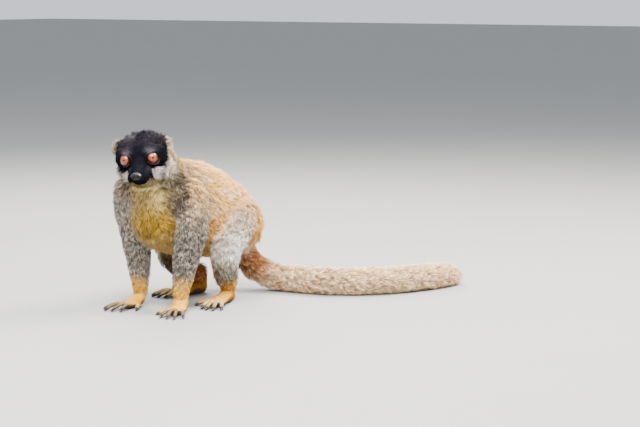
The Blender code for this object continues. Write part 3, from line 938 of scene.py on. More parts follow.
def points_of(obj: Obj) -> Rows:
    """The mesh's vertices, one to a row, in metres."""
    return read(obj.data.vertices, "co", np.float32).astype(float)


def normals_of(obj: Obj) -> Rows:
    """The mesh's vertex normals, one to a row."""
    return unit(read(obj.data.vertex_normals, "vector", np.float32).astype(float))


def set_points(obj: Obj, points: Rows) -> None:
    """Moves the mesh's vertices."""
    obj.data.vertices.foreach_set("co", points.astype(np.float32).ravel())
    obj.data.update()


def triangles_of(obj: Obj) -> Rows:
    """The mesh as triangles of vertex numbers, one to a row."""
    obj.data.calc_loop_triangles()
    return read(obj.data.loop_triangles, "vertices", np.int32)


# ------------------------------------------------------------------ skin
def chain_steps(chain: Chain) -> Iterator[tuple[Triple, float, float]]:
    """Walks a chain of ellipsoids in short steps that blend into one form.

    Args:
        chain: Middles, half widths and half heights along the form.

    Yields:
        A middle, half width and half height at each step.
    """
    for (a, wa, ta), (b, wb, tb) in zip(chain, chain[1:]):
        for t in (0.0, 0.34, 0.67, 1.0):
            yield tuple(np.array(a) * (1 - t) + np.array(b) * t), wa + (wb - wa) * t, ta + (tb - ta) * t


@dataclass(frozen=True)
class EyeSocket:
    """How the lids close over each eyeball, in millimetres and degrees from the opening's middle."""

    ball: float = 10.0
    lid: float = 10.4
    edge: float = 55.0

    @staticmethod
    def seat(side: int) -> Rows:
        """The middle of one eyeball, in the head's frame."""
        return np.array([side * EYE_SEAT[0], EYE_SEAT[1], EYE_SEAT[2]])

    @staticmethod
    def reach(q: Rows, side: int) -> Rows:
        """How far places of the head's frame lie from the middle of one eyeball."""
        return np.linalg.norm(q - EyeSocket.seat(side), axis=1)

    @staticmethod
    def opening(side: int) -> Rows:
        """The way that the middle of a lid's opening faces, in the head's frame."""
        return unit(np.array([side * 0.50, -0.83, 0.20]))

    def past(self, q: Rows, side: int) -> Rows:
        """How many degrees places lie outside one eye's opening, which is wider than it is high.

        Args:
            q: Places in the head's frame.
            side: 1 for the left eye, -1 for the right.

        Returns:
            Degrees, below 0 inside the opening.
        """
        way = unit(q - self.seat(side))
        aim = self.opening(side)
        angle = np.degrees(np.arccos(np.clip(way @ aim, -1, 1)))
        high = unit(way - (way @ aim)[:, None] * aim)[:, 2]
        return angle - self.edge + 5.5 * high**2 + 2.0 * ease(high, 0.2, 0.9)


@dataclass
class HeadForm:
    """The bare head under its coat, in the head's frame and millimetres."""

    skull: tuple[Triple, Triple] = ((0, 6, 2), (33, 35, 26.5))
    forehead: tuple[Triple, Triple] = ((0, -13, 11), (25, 17, 15.5))
    jaw: tuple[Triple, Triple] = ((18, -2, -11), (18, 26, 18))
    temple: tuple[Triple, Triple] = ((22, 5, 12), (13, 19, 13))
    orbit: tuple[Triple, Triple] = ((22.0, -17.0, 6.0), (15.0, 13.5, 14.5))
    chin: tuple[Triple, Triple] = ((0, -41, -20), (12, 15, 6))
    lip: tuple[Triple, Triple] = ((8, -50, -14), (8, 10, 6.5))
    bridge: Chain = (
        ((0, -14, 8), 17.0, 14.0),
        ((0, -27, 2), 12.5, 11.0),
        ((0, -40, -3.5), 10.0, 8.5),
        ((0, -52, -7.5), 8.5, 7.0),
        ((0, -59, -9.5), 8.0, 6.0),
    )
    muzzle: Chain = (
        ((0, -10, -8), 24.0, 18.0),
        ((0, -26, -11), 20.0, 13.0),
        ((0, -38, -13), 16.5, 9.5),
        ((0, -49, -14), 13.5, 7.5),
        ((0, -57, -14), 10.5, 6.0),
    )
    thick: float = 8.0
    voxel: float = 1.25
    fine_reach: float = 17.0
    fine_front: float = -20.0
    socket: EyeSocket = field(default_factory=EyeSocket)

    def build(self) -> Obj:
        """Models the head and returns it as one closed mesh.

        Returns:
            One closed mesh, with its lids and mouth.
        """
        place = HEAD.matrix()
        pieces = [Bench.ball(*lump, place) for lump in (self.skull, self.forehead, self.chin)]
        for at, half in (self.jaw, self.temple, self.orbit, self.lip):
            for side in SIDES:
                pieces.append(Bench.ball((side * at[0], at[1], at[2]), half, place))
        for chain in (self.bridge, self.muzzle):
            for at, wide, high in chain_steps(chain):
                pieces.append(Bench.ball(at, (wide, self.thick, high), place, 14))
        head = Bench.join(pieces, "head_form")
        Bench.fuse(head, self.voxel, 14)
        self.refine(head)
        self.sculpt(head)
        return head

    def refine(self, head: Obj) -> None:
        """Divides the faces round the eyes and mouth, which carry the finest folds.

        Args:
            head: The head's mesh.
        """
        Bench.pick(head)
        bpy.ops.object.mode_set(mode="EDIT")
        bpy.ops.mesh.select_all(action="DESELECT")
        bpy.ops.mesh.select_mode(type="FACE")
        shape = bmesh.from_edit_mesh(head.data)
        centres = HEAD.local(np.array([face.calc_center_median() for face in shape.faces]))
        fine = np.zeros(len(centres), bool)
        for side in SIDES:
            fine |= (EyeSocket.reach(centres, side) < self.fine_reach) & (centres[:, 1] < self.fine_front)
        for face, pick in zip(shape.faces, fine):
            face.select = bool(pick)
        shape.select_flush(True)
        bmesh.update_edit_mesh(head.data)
        bpy.ops.mesh.subdivide(number_cuts=1, smoothness=0)
        bpy.ops.object.mode_set(mode="OBJECT")

    def sculpt(self, head: Obj) -> None:
        """Sinks the sockets, wraps the lids round the eyeballs, and cuts the mouth and the folds.

        Args:
            head: The head's mesh.
        """
        q = HEAD.local(points_of(head))
        for side in SIDES:
            q = self.wrap_lids(q, side)
        q = self.cut_mouth(q)
        set_points(head, HEAD.world(q))

    def wrap_lids(self, q: Rows, side: int) -> Rows:
        """Shapes the surface near one eye as a lid that closes on the eyeball.

        Args:
            q: The head's vertices in its own frame.
            side: 1 for the left eye, -1 for the right.

        Returns:
            The moved vertices.
        """
        s = self.socket
        eye = s.seat(side)
        reach, past = s.reach(q, side), s.past(q, side)
        hollow = ease(past, 1.5, -2.5)
        lid = s.lid + 0.9 * ease(past, 2, 18) - 0.5 * bump(past, 13, 2.5)
        grip = ease(past, 40, 14)
        raised = reach + (np.maximum(lid, reach - 2.6) - reach) * grip
        target = raised * (1 - hollow) + (s.ball - 2.4) * hollow
        near = (past < 40) & (reach < 20)
        return np.where(near[:, None], eye + unit(q - eye) * target[:, None], q)

    def cut_mouth(self, q: Rows) -> Rows:
        """Creases the line of the mouth round the muzzle.

        Args:
            q: The head's vertices in its own frame.

        Returns:
            The moved vertices.
        """
        line = -19.0 + 0.9 * np.cos(np.clip(np.abs(q[:, 0]) / 14, 0, 1) * math.pi) - 0.05 * (q[:, 1] + 55)
        depth = 1.3 * bump(q[:, 2], line, 0.9) * ease(q[:, 1], -24, -34)
        lips = 0.5 * bump(q[:, 2], line + 2.4, 1.6) * ease(q[:, 1], -26, -38)
        way = unit(q - np.array([0, -40, -15]))
        return q - way * (depth - lips)[:, None]


@dataclass
class Ear:
    """A rounded, cupped ear, in the head's frame and millimetres; the left one is held lower and closer."""

    side: int
    left: Triple = (33.3, 10.0, 8.0)
    right: Triple = (-34.8, 10.0, 11.8)
    half: Triple = (4.0, 9.8, 12.2)
    lean: float = math.radians(26)
    turn: float = math.radians(50)
    cup: float = 6.0

    def seat(self) -> Rows:
        """The ear's middle."""
        return np.array(self.left if self.side > 0 else self.right)

    def axes(self) -> Matrix:
        """The ear's own axes in the head's frame."""
        return Matrix.Rotation(self.side * self.lean, 4, "Y") @ Matrix.Rotation(self.side * self.turn, 4, "Z")

    def local(self, q: Rows) -> Rows:
        """Takes places of the head's frame to the ear's own, whose X runs through its thickness."""
        return (q - self.seat()) @ np.array(self.axes())[:3, :3]

    def ring(self, local: Rows) -> Rows:
        """How far out places of the ear's own frame lie over its face, with 1 at the rim."""
        return np.hypot(local[:, 1] / self.half[1], local[:, 2] / self.half[2])

    def ratio(self, q: Rows) -> Rows:
        """How far out places of the head's frame lie from the ear's middle, with 1 at its rim."""
        return np.linalg.norm(self.local(q) / (np.array(self.half) + np.array([1.5, 0, 0])), axis=1)

    def hollow(self, q: Rows) -> Rows:
        """How far places of the head's frame lie in the ear's hollow, 0 to 1.

        Args:
            q: Places in the head's frame.

        Returns:
            The cover, one to a place.
        """
        local = self.local(q)
        ring = self.ring(local)
        return ease(ring, 0.85, 0.6) * ease(self.side * local[:, 0] + 3.5 * ring**2, -3.4, -2.6)

    def build(self) -> Obj:
        """Models the ear, hollow to the front and outside.

        Returns:
            One closed mesh.
        """
        place = HEAD.matrix() @ Matrix.Translation(Vector(self.seat())) @ self.axes()
        ear = Bench.ball((0, 0, 0), self.half, place, 24)
        back = np.array(place.inverted())
        local = points_of(ear) @ back[:3, :3].T + back[:3, 3]
        sink = self.cup * (1 - self.ring(local) ** 2) * (self.side * local[:, 0] > 0)
        local[:, 0] -= self.side * sink
        there = np.array(place)
        set_points(ear, local @ there[:3, :3].T + there[:3, 3])
        return ear


@dataclass
class PawForm:
    """A hand or foot under its short coat."""

    paw: Paw
    voxel: float = 1.4
    thick: float = 7.5
    press: float = 0.9

    def build(self) -> Obj:
        """Models the paw flat on the floor and returns it as one closed mesh.

        Returns:
            One closed mesh.
        """
        base = Matrix.Translation(Vector(ORIGIN * MM))
        turn = Matrix.Rotation(math.radians(self.paw.splay), 4, "Z")
        pieces: list[Obj] = []
        press = np.array([0, 0, self.press])
        for at, wide, high in chain_steps(self.paw.body):
            half = tuple(np.array([wide, self.thick, high]) * MM)
            seat = base @ Matrix.Translation(Vector((self.paw.world(at) - press) * MM)) @ turn
            pieces.append(Bench.ball((0, 0, 0), half, seat, 12))
        radii = [radius * MM for radius in self.paw.radii]
        for digit in self.paw.digits:
            spots = [(self.paw.world(point) - press + ORIGIN) * MM for point in digit]
            for i in range(len(spots) - 1):
                pieces += Bench.taper(spots[i], spots[i + 1], (radii[i], radii[i + 1]))
        form = Bench.join(pieces, self.paw.name + "_form")
        Bench.fuse(form, self.voxel, 2)
        points = points_of(form)
        points[:, 2] = np.maximum(points[:, 2], 0.0)
        set_points(form, points)
        return form


@dataclass
class Hide:
    """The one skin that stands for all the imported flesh, lying inside it by the coat's depth."""

    flesh: tuple[str, ...] = (
        "neck", "chest", "belly", "rump",
        "upper_arm_left", "upper_arm_right", "forearm_left", "forearm_right",
        "thigh_left", "thigh_right", "shin_left", "shin_right",
        "tail_1", "tail_2", "tail_3", "tail_4", "tail_5",
    )
    head_nodes: tuple[str, ...] = ("head", "ear_left", "ear_right")
    paw_nodes: tuple[str, ...] = ("hand_left", "hand_right", "foot_left", "foot_right")
    joint: Triple = (0.0125, 0.0125, 0.012)
    nape: tuple[Triple, Triple] = ((0, 16, -4), (33, 33, 31))
    throat: tuple[tuple[Triple, Triple], ...] = (((2, -80, 222), (35, 31, 37)), ((8, -84, 232), (31, 24, 31)))
    weld: float = 0.00001
    swell: float = 0.0004
    voxel: float = 3.1
    shares: tuple[float, float] = (0.42, 0.38)
    clearance: float = 0.0012

    def torso(self) -> Obj:
        """Fuses copies of the trunk, limbs and tail and draws the surface in by the coat's depth.

        Returns:
            One closed mesh.
        """
        copies = [Bench.add(name + "_copy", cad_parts[name].data.copy()) for name in self.flesh]
        for paw in PAWS:
            at = Vector((paw.world((0, 0, 26)) + ORIGIN) * MM)
            copies.append(Bench.ball((0, 0, 0), self.joint, Matrix.Translation(at), 12))
        copies.append(Bench.ball(*self.nape, HEAD.matrix(), 16))
        body_place = Matrix.Translation(Vector(ORIGIN * MM)) @ Matrix.Scale(MM, 4)
        copies += [Bench.ball(at, half, body_place, 16) for at, half in self.throat]
        body = Bench.join(copies, "torso_form")
        Bench.pick(body)
        bpy.ops.object.mode_set(mode="EDIT")
        bpy.ops.mesh.select_all(action="SELECT")
        bpy.ops.mesh.remove_doubles(threshold=self.weld)
        bpy.ops.object.mode_set(mode="OBJECT")
        Bench.apply(body, "DISPLACE", strength=self.swell, mid_level=0.0)
        Bench.fuse(body, self.voxel, 10)
        for share in self.shares:
            points, normals = points_of(body), normals_of(body)
            drawn = points - normals * (Field(points).depth * share * MM)[:, None]
            drawn[:, 2] = np.maximum(drawn[:, 2], self.clearance)
            set_points(body, drawn)
            Bench.apply(body, "SMOOTH", factor=0.5, iterations=3)
        return body

    def build(self) -> Obj:
        """Models the whole skin and returns it as one piece.

        Returns:
            The skin.
        """
        pieces = [self.torso(), HeadForm().build(), Ear(1).build(), Ear(-1).build()]
        pieces += [PawForm(paw).build() for paw in PAWS]
        skin = Bench.join(pieces, "skin")
        skin.data.materials.clear()
        skin.data.shade_smooth()
        return skin


# ------------------------------------------------------------------ coat
@dataclass
class Locks:
    """Every lock of the coat, one to a row: direction, sizes in millimetres, its tip's shift, and colours."""

    flow: Rows
    length: Rows
    rise: Rows
    width: Rows
    shift: Rows
    colour: Rows
    tick: Rows


@dataclass
class CoatPlan:
    """How many locks grow, how one is made, what stays bare and where the pieces part, in millimetres.

    Attributes:
        budget: How many locks there are in all.
        seed: Picks their places and their unevenness.
        stations: Where along a lock its rings and its point are.
        thick: A lock's thickness as a share of its width.
        girth: A lock's width at its root as a share of its width.
        width: A lock's least width, and how much of its length is added to it.
        lengths: The shortest and longest lock before its part of the body shortens it.
        rise: The least that a lock's point stands off the skin.
        curl: How far locks bend aside, as a share of their length.
        stray: The share of locks that stand up: anywhere, more on the crown, more on the back.
        stray_rise: How much more those stand off, in the same order.
        stray_length: How much longer those on the crown are.
        pepper: The share of the crown's locks that are grey, and how grey they are.
        clump: How many locks share one clump.
        gather: How far points draw to their clump, as a share of the way and at most of their length.
        floor: How far locks stay above the floor.
        nose: Half sizes of the bare nose.
        core: The middle, half sizes and scale of the skull's inside, where nothing grows.
        sole: Heights under which nothing grows: anywhere, and where the skin faces down.
        lid: How far round each eye the short hair of the lids is denser.
        nail: How far round each digit's tip stays bare.
        face_edge: Where the face's piece meets the head's.
        chest_edge: Where the chest's piece meets the flanks'.
        rump_edge: Where the flanks' pieces meet the rump's.
        margin: What the map leaves free at its edges.
        patch: A lock's half width and its height in the map.
        share: How thickly each part is covered.
    """

    budget: int = 148000
    seed: int = 20
    stations: tuple[float, ...] = (0.0, 0.55, 1.0)
    thick: float = 0.38
    girth: float = 0.72
    width: tuple[float, float] = (0.46, 0.046)
    lengths: tuple[float, float] = (1.4, 26.0)
    rise: float = 0.25
    curl: float = 0.10
    stray: Triple = (0.12, 0.30, 0.05)
    stray_rise: Triple = (1.5, 0.5, 0.25)
    stray_length: float = 0.5
    pepper: tuple[float, float] = (0.18, 0.26)
    clump: int = 9
    gather: tuple[float, float] = (0.45, 0.28)
    floor: float = 0.15
    nose: Triple = (9.1, 6.5, 6.6)
    core: tuple[Triple, Triple, float] = ((0, 6, 1), (30, 33, 26), 0.93)
    sole: tuple[float, float] = (1.2, 7.0)
    lid: float = 13.5
    nail: float = 4.0
    face_edge: float = -12.0
    chest_edge: float = -20.0
    rump_edge: float = 62.0
    margin: float = 0.02
    patch: tuple[float, float] = (0.0015, 0.003)
    share: dict[Zone, float] = field(
        default_factory=lambda: {
            Zone.HEAD: 3.2, Zone.NECK: 1.20, Zone.TRUNK: 0.85, Zone.TAIL: 0.85,
            Zone.ARM_LEFT: 1.45, Zone.ARM_RIGHT: 1.25, Zone.LEG_LEFT: 1.1, Zone.LEG_RIGHT: 1.0,
            **dict.fromkeys((*HANDS, *FEET), 1.3),
        }
    )


class Coat:
    """The coat of locks over the skin, split into pieces by the part that they grow on."""

    def __init__(self, skin: Obj, plan: CoatPlan) -> None:
        """Samples roots over the skin and reads the field there.

        Args:
            skin: The finished skin.
            plan: The coat's numbers.
        """
        self.plan = plan
        self.rng = np.random.default_rng(plan.seed)
        points, normals, faces = points_of(skin), normals_of(skin), triangles_of(skin)
        corners = points[faces]
        middles = corners.mean(1)
        one, two = corners[:, 1] - corners[:, 0], corners[:, 2] - corners[:, 0]
        area = np.linalg.norm(np.cross(one, two), axis=1) / 2
        weight = area * self.density(middles, unit(normals[faces].mean(1)))
        total = np.cumsum(weight)
        picks = (np.arange(plan.budget) + self.rng.uniform(0, 1, plan.budget)) / plan.budget * total[-1]
        index = np.searchsorted(total, picks)
        r1, r2 = np.sqrt(self.rng.uniform(0, 1, plan.budget)), self.rng.uniform(0, 1, plan.budget)
        mix = np.stack([1 - r1, r1 * (1 - r2), r1 * r2], 1)[:, :, None]
        self.points = (points[faces[index]] * mix).sum(1)
        self.normals = unit((normals[faces[index]] * mix).sum(1))
        self.field = Field(self.points)
        log.info("coat: %d roots", len(self.points))

    def density(self, middles: Rows, normals: Rows) -> Rows:
        """How thickly locks grow at each face of the skin.

        Args:
            middles: The faces' middles in metres.
            normals: The faces' normals.

        Returns:
            Locks for each unit of area, up to one scale.
        """
        there = Field(middles)
        zones = np.array([self.plan.share[zone] for zone in ZONES])
        stacked = np.array([there.weights[zone] for zone in ZONES])
        thick = zones @ stacked * (1 - 0.6 * there.ear_hollow)
        q, low, plan = there.head, there.place[:, 2], self.plan
        bald = (low < plan.sole[0]) | ((normals[:, 2] < -0.7) & (low < plan.sole[1]))
        bald |= (((q - np.array(NOSE_SEAT)) / np.array(plan.nose)) ** 2).sum(1) <= 1
        bald |= np.linalg.norm((q - np.array(plan.core[0])) / np.array(plan.core[1]), axis=1) < plan.core[2]
        for side in SIDES:
            near = EyeSocket.reach(q, side) < plan.lid
            bare = 3 + 4 * ease(unit(q - EyeSocket.seat(side))[:, 2], 0.0, -0.4)
            bald |= near & (EyeSocket().past(q, side) < bare)
            thick = thick * (1 + 1.5 * near)
        for paw in PAWS:
            for digit in paw.digits:
                bald |= np.linalg.norm(there.place - paw.world(digit[-1]), axis=1) < plan.nail
        return np.where(bald, 0.0, thick)

    def lie(self) -> tuple[Rows, Rows, Rows, Rows]:
        """Works out each lock's direction, length, rise and width.

        Returns:
            Unit directions in the surface, and lengths, rises and widths in millimetres.
        """
        f, p, plan = self.field, self.field.place, self.plan
        flow = flatten(f.flow, self.normals)
        side = np.cross(self.normals, flow)
        sway = 0.30 * ripple(p, 17, 101) + 0.22 * ripple(p, 7, 102) + self.rng.normal(0, 0.16, len(p))
        calm = 0.40 + 0.60 * ease(f.length, 4, 11)
        flow = flatten(flow + side * (sway * calm)[:, None], self.normals)
        length = f.length * (1 + 0.16 * ripple(p, 11, 103) + self.rng.normal(0, 0.10, len(p)))
        length = np.clip(length, *plan.lengths)
        rise = 1.05 * f.depth * (1 + 0.28 * ripple(p, 9, 104, 16) + self.rng.normal(0, 0.14, len(p)))
        crown, woolly = self.crown(), self.woolly()
        frizz = woolly * (0.45 * ripple(p, 6, 105) + self.rng.normal(0, 0.30, len(p)))
        flow = flatten(flow + side * frizz[:, None], self.normals)
        arms = sum(f.weights[zone] for zone in ARMS)
        length = length * (1 - 0.22 * woolly - 0.12 * arms - 0.18 * f.weights[Zone.TAIL])
        rise = rise * (1 + 0.12 * woolly)
        shaggy = f.weights[Zone.TRUNK] * ease(self.normals[:, 2], -0.2, 0.4)
        share, more = (a + b * crown + c * shaggy for a, b, c in (plan.stray, plan.stray_rise))
        stray = self.rng.uniform(0, 1, len(p)) < share
        rise = np.where(stray, rise * more, rise)
        length = np.where(stray, length * (1 + plan.stray_length * crown), length)
        rise = np.clip(rise, plan.rise, length * 0.8)
        width = plan.width[0] + plan.width[1] * f.length
        width = width * self.rng.uniform(0.8, 1.2, len(p)) * (1 - 0.22 * f.weights[Zone.TAIL] - 0.12 * arms)
        return flow, length, rise, width

    def crown(self) -> Rows:
        """How far each root lies on the crown between the ears, 0 to 1."""
        return self.field.weights[Zone.HEAD] * self.field.head_parts()[0] * (1 - self.field.ear)

    def woolly(self) -> Rows:
        """How far the coat is curled and ticked at each root, 0 to 1.

        Returns:
            One number for each root.
        """
        w = self.field.weights
        bib = ease(-self.normals[:, 1], 0.2, 0.6) * ease(np.abs(self.field.place[:, 0]), 40, 28)
        wool = sum(w[zone] for zone in ARMS) + 0.8 * w[Zone.NECK] * (1 - bib) + 0.6 * w[Zone.TAIL]
        for zone in LEGS:
            wool = wool + w[zone] * (0.3 + 0.7 * ease(self.field.place[:, 2], 86, 66))
        return np.clip(wool, 0, 1)

    def clumps(self, tips: Rows, length: Rows) -> Rows:
        """Draws the points of neighbouring locks together, as hair does.

        Args:
            tips: Where each lock's point would be, in millimetres.
            length: The locks' lengths.

        Returns:
            The shift of each point, in millimetres.
        """
        count = len(tips)
        draw, limit = self.plan.gather
        leaders = self.rng.choice(count, count // self.plan.clump, replace=False)
        tree = KDTree(len(leaders))
        roots = self.field.place
        for n, i in enumerate(leaders):
            tree.insert(Vector(roots[i]), n)
        tree.balance()
        owner = np.array([tree.find(Vector(root))[1] for root in roots])
        pull = (tips[leaders][owner] - tips) * draw
        reach = np.linalg.norm(pull, axis=1)
        return pull * np.minimum(1, length * limit / (reach + 1e-9))[:, None]

    def build(self) -> list[Obj]:
        """Makes the coat's pieces and returns them.

        Returns:
            The pieces, as meshes.
        """
        flow, length, rise, width = self.lie()
        tips = self.field.place + flow * length[:, None] * 0.9 + self.normals * rise[:, None]
        shift = self.clumps(tips, length)
        colour = markings(self.field, self.normals)
        woolly = self.woolly()
        patch = 0.8 * ripple(self.field.place, 4.0, 301, 24) + 0.6 * ripple(self.field.place, 9.0, 302, 24)
        colour *= np.exp(0.40 * woolly * (patch + 0.7 * self.rng.normal(0, 1, len(colour)) - 0.2))[:, None]
        colour *= (1 + 0.09 * self.rng.normal(0, 1, len(colour)))[:, None]
        share, grey = self.plan.pepper
        pepper = self.rng.uniform(0, 1, len(colour)) < share
        colour = lay_colour(colour, COLOURS.cheek_shade_and_pepper, grey * self.crown() * pepper)
        locks = Locks(flow, length, rise, width, shift, colour, self.tick())
        return [self.piece(name, rows, locks) for name, rows in self.split()]

    def tick(self) -> Rows:
        """A number from 0 to 1 for each lock, alike within small patches, that picks pale and black tips.

        Returns:
            One number for each lock.
        """
        p = self.field.place
        mixed = ripple(p, 4.5, 201, 24) + 0.7 * ripple(p, 10.0, 202, 24) + self.rng.normal(0, 0.9, len(p))
        order = np.argsort(mixed)
        out = np.empty(len(p))
        out[order] = (np.arange(len(p)) + 0.5) / len(p) - 0.5
        return 0.5 + out * (0.62 + 0.42 * self.woolly())

    def split(self) -> list[tuple[str, Rows]]:
        """Sorts the roots into pieces.

        Returns:
            Each piece's name and the roots that it holds.
        """
        part = {zone: self.field.zone == i for i, zone in enumerate(ZONES)}
        head, trunk, tail = part[Zone.HEAD], part[Zone.TRUNK], part[Zone.TAIL]
        left, back = self.field.place[:, 0] >= 0, self.field.place[:, 1]
        face = self.field.head[:, 1] < self.plan.face_edge
        chest, rump = back < self.plan.chest_edge, back >= self.plan.rump_edge
        half = self.field.run[ZONES.index(Zone.TAIL)] > 0.5
        groups = {
            "face": head & face,
            "head": head & ~face,
            "neck": part[Zone.NECK],
            "chest": trunk & chest,
            "flank_left": trunk & ~chest & ~rump & left,
            "flank_right": trunk & ~chest & ~rump & ~left,
            "rump": trunk & rump,
            **{zone.value: part[zone] for zone in (*ARMS, *LEGS)},
            "tail_root": tail & ~half,
            "tail_end": tail & half,
            "paws": np.any([part[zone] for zone in (*HANDS, *FEET)], axis=0),
        }
        return [(name, np.flatnonzero(rows)) for name, rows in groups.items() if rows.any()]

    def unwrap(self, name: str, rows: Rows) -> Rows:
        """Lays the roots out flat round the part that they grow on, within the map's margin.

        Args:
            name: The coat piece's name.
            rows: Its roots.

        Returns:
            Two coordinates for each root.
        """
        if name in ("face", "head"):
            q = self.field.head[rows] - np.array([0, -6, 0])
            around = np.arctan2(q[:, 0], q[:, 2])
            along = np.arccos(np.clip(unit(q)[:, 1], -1, 1)) / math.pi
        elif name == "paws":
            around = np.zeros(len(rows))
            along = np.zeros(len(rows))
            for i, paw in enumerate(PAWS):
                mine = np.flatnonzero(self.field.zone[rows] == ZONES.index(paw.zone))
                local = self.field.place[rows][mine] - np.array(paw.at)
                turn = np.arctan2(local[:, 0], local[:, 2] - 6)
                around[mine] = (turn / (2 * math.pi) + 0.5 + i) / len(PAWS) * 2 * math.pi - math.pi
                along[mine] = np.clip((local[:, 1] + 100) / 130, 0, 1)
        else:
            tubes = {zone.value: zone for zone in (Zone.NECK, *ARMS, *LEGS)}
            zone = Zone.TAIL if name.startswith("tail") else tubes.get(name, Zone.TRUNK)
            line = ZONES.index(zone)
            away, place = self.field.away[line][rows], self.field.place[rows]
            if zone in (*ARMS, *LEGS):
                around, along = np.arctan2(away[:, 0], away[:, 1]), place[:, 2]
            elif zone is Zone.TAIL:
                way = GUIDES[line].measure(place)["flow"]
                aside = unit(np.cross(way, np.array([0, 0, 1.0])))
                around = np.arctan2((away * aside).sum(1), (away * np.cross(aside, way)).sum(1))
                along = self.field.run[line][rows]
            else:
                around, along = np.arctan2(away[:, 0], away[:, 2]), place[:, 1]
        along = (along - along.min()) / (np.ptp(along) + 1e-9)
        low, span = self.plan.margin, 1 - 2 * self.plan.margin
        return np.stack([low + span * (around / (2 * math.pi) + 0.5), low + span * along], 1)

    def piece(self, name: str, rows: Rows, locks: Locks) -> Obj:
        """Makes one piece of the coat from its roots.

        Args:
            name: The piece's name.
            rows: Which roots it holds.
            locks: All the coat's locks.

        Returns:
            The piece as one mesh.
        """
        plan = self.plan
        n, k = len(rows), len(plan.stations) - 1
        per = 3 * k + 1
        root, up, way = self.field.place[rows], self.normals[rows], locks.flow[rows]
        aside = np.cross(way, up)
        long, high, broad = (sizes[rows][:, None] for sizes in (locks.length, locks.rise, locks.width))
        curl = self.rng.normal(0, plan.curl, (n, 1)) * long
        verts = np.empty((n, per, 3))
        along = np.empty((n, per))
        for ring, t in enumerate(plan.stations):
            lift = high * (1 - (1 - t) ** 1.8) * (1 - 0.18 * t**3)
            spine = root + way * (long * 0.92 * (0.25 * t + 0.75 * t**1.15)) + up * (lift - 0.5 * (1 - t))
            spine = spine + aside * (curl * t**2) + locks.shift[rows] * t**1.6
            if ring == k:
                verts[:, -1] = spine
                along[:, -1] = 1
                continue
            girth = broad * (1 - t) ** 0.65 * (plan.girth if ring == 0 else 1.0)
            half = aside * girth / 2
            verts[:, 3 * ring] = spine - half
            verts[:, 3 * ring + 1] = spine + half
            verts[:, 3 * ring + 2] = spine + up * (girth * plan.thick)
            along[:, 3 * ring : 3 * ring + 3] = t
        faces = [(0, 1, 2)]
        for ring in range(k - 1):
            a, b = 3 * ring, 3 * ring + 3
            for i in range(3):
                j = (i + 1) % 3
                faces += [(a + i, b + i, b + j), (a + i, b + j, a + j)]
        last = 3 * (k - 1)
        faces += [(last + i, 3 * k, last + (i + 1) % 3) for i in range(3)]
        faces = np.array(faces)
        verts[:, :, 2] += np.maximum(0, plan.floor - (verts + ORIGIN)[:, :, 2])
        grid = (np.arange(n)[:, None, None] * per + faces[None]).reshape(-1, 3)
        obj = mesh_from_triangles("coat_" + name, ((verts + ORIGIN) * MM).reshape(-1, 3), grid)
        centre = self.unwrap(name, rows)
        wide, tall = plan.patch
        across = centre[:, :1] + np.array([-1.0, 1.0, 0.0] * k + [0.0]) * wide
        uv = np.stack([across, centre[:, 1:] + (along - 0.5) * tall], 2).reshape(-1, 2)
        layer = obj.data.uv_layers.new(name="OFBake")
        layer.data.foreach_set("uv", uv[grid.ravel()].astype(np.float32).ravel())
        paint(obj, "pelage", np.repeat(locks.colour[rows], per, 0))
        paint(obj, "along", along.ravel())
        paint(obj, "tick", np.repeat(locks.tick[rows], per))
        obj.data.shade_smooth()
        log.info("coat_%s: %d locks, %d triangles", name, n, len(grid))
        return obj


def mesh_from_triangles(name: str, points: Rows, faces: Rows) -> Obj:
    """Makes an object from points and triangles.

    Args:
        name: The object's name.
        points: Vertices in metres.
        faces: Triangles of vertex numbers.

    Returns:
        The object, in the scene.
    """
    mesh = bpy.data.meshes.new(name)
    mesh.vertices.add(len(points))
    mesh.vertices.foreach_set("co", points.astype(np.float32).ravel())
    mesh.loops.add(faces.size)
    mesh.loops.foreach_set("vertex_index", faces.astype(np.int32).ravel())
    mesh.polygons.add(len(faces))
    mesh.polygons.foreach_set("loop_start", np.arange(0, faces.size, 3, dtype=np.int32))
    mesh.update(calc_edges=True)
    return Bench.add(name, mesh)


def paint(obj: Obj, name: str, values: Rows) -> None:
    """Stores one number or one colour for each vertex under a name.

    Args:
        obj: The object.
        name: The name to store under.
        values: Numbers, or colours one to a row.
    """
    if values.ndim == 1:
        layer = obj.data.attributes.new(name, "FLOAT", "POINT")
        layer.data.foreach_set("value", values.astype(np.float32))
        return
    layer = obj.data.attributes.new(name, "FLOAT_COLOR", "POINT")
    rgba = np.concatenate([np.clip(values, 0, 1), np.ones((len(values), 1))], 1)
    layer.data.foreach_set("color", rgba.astype(np.float32).ravel())


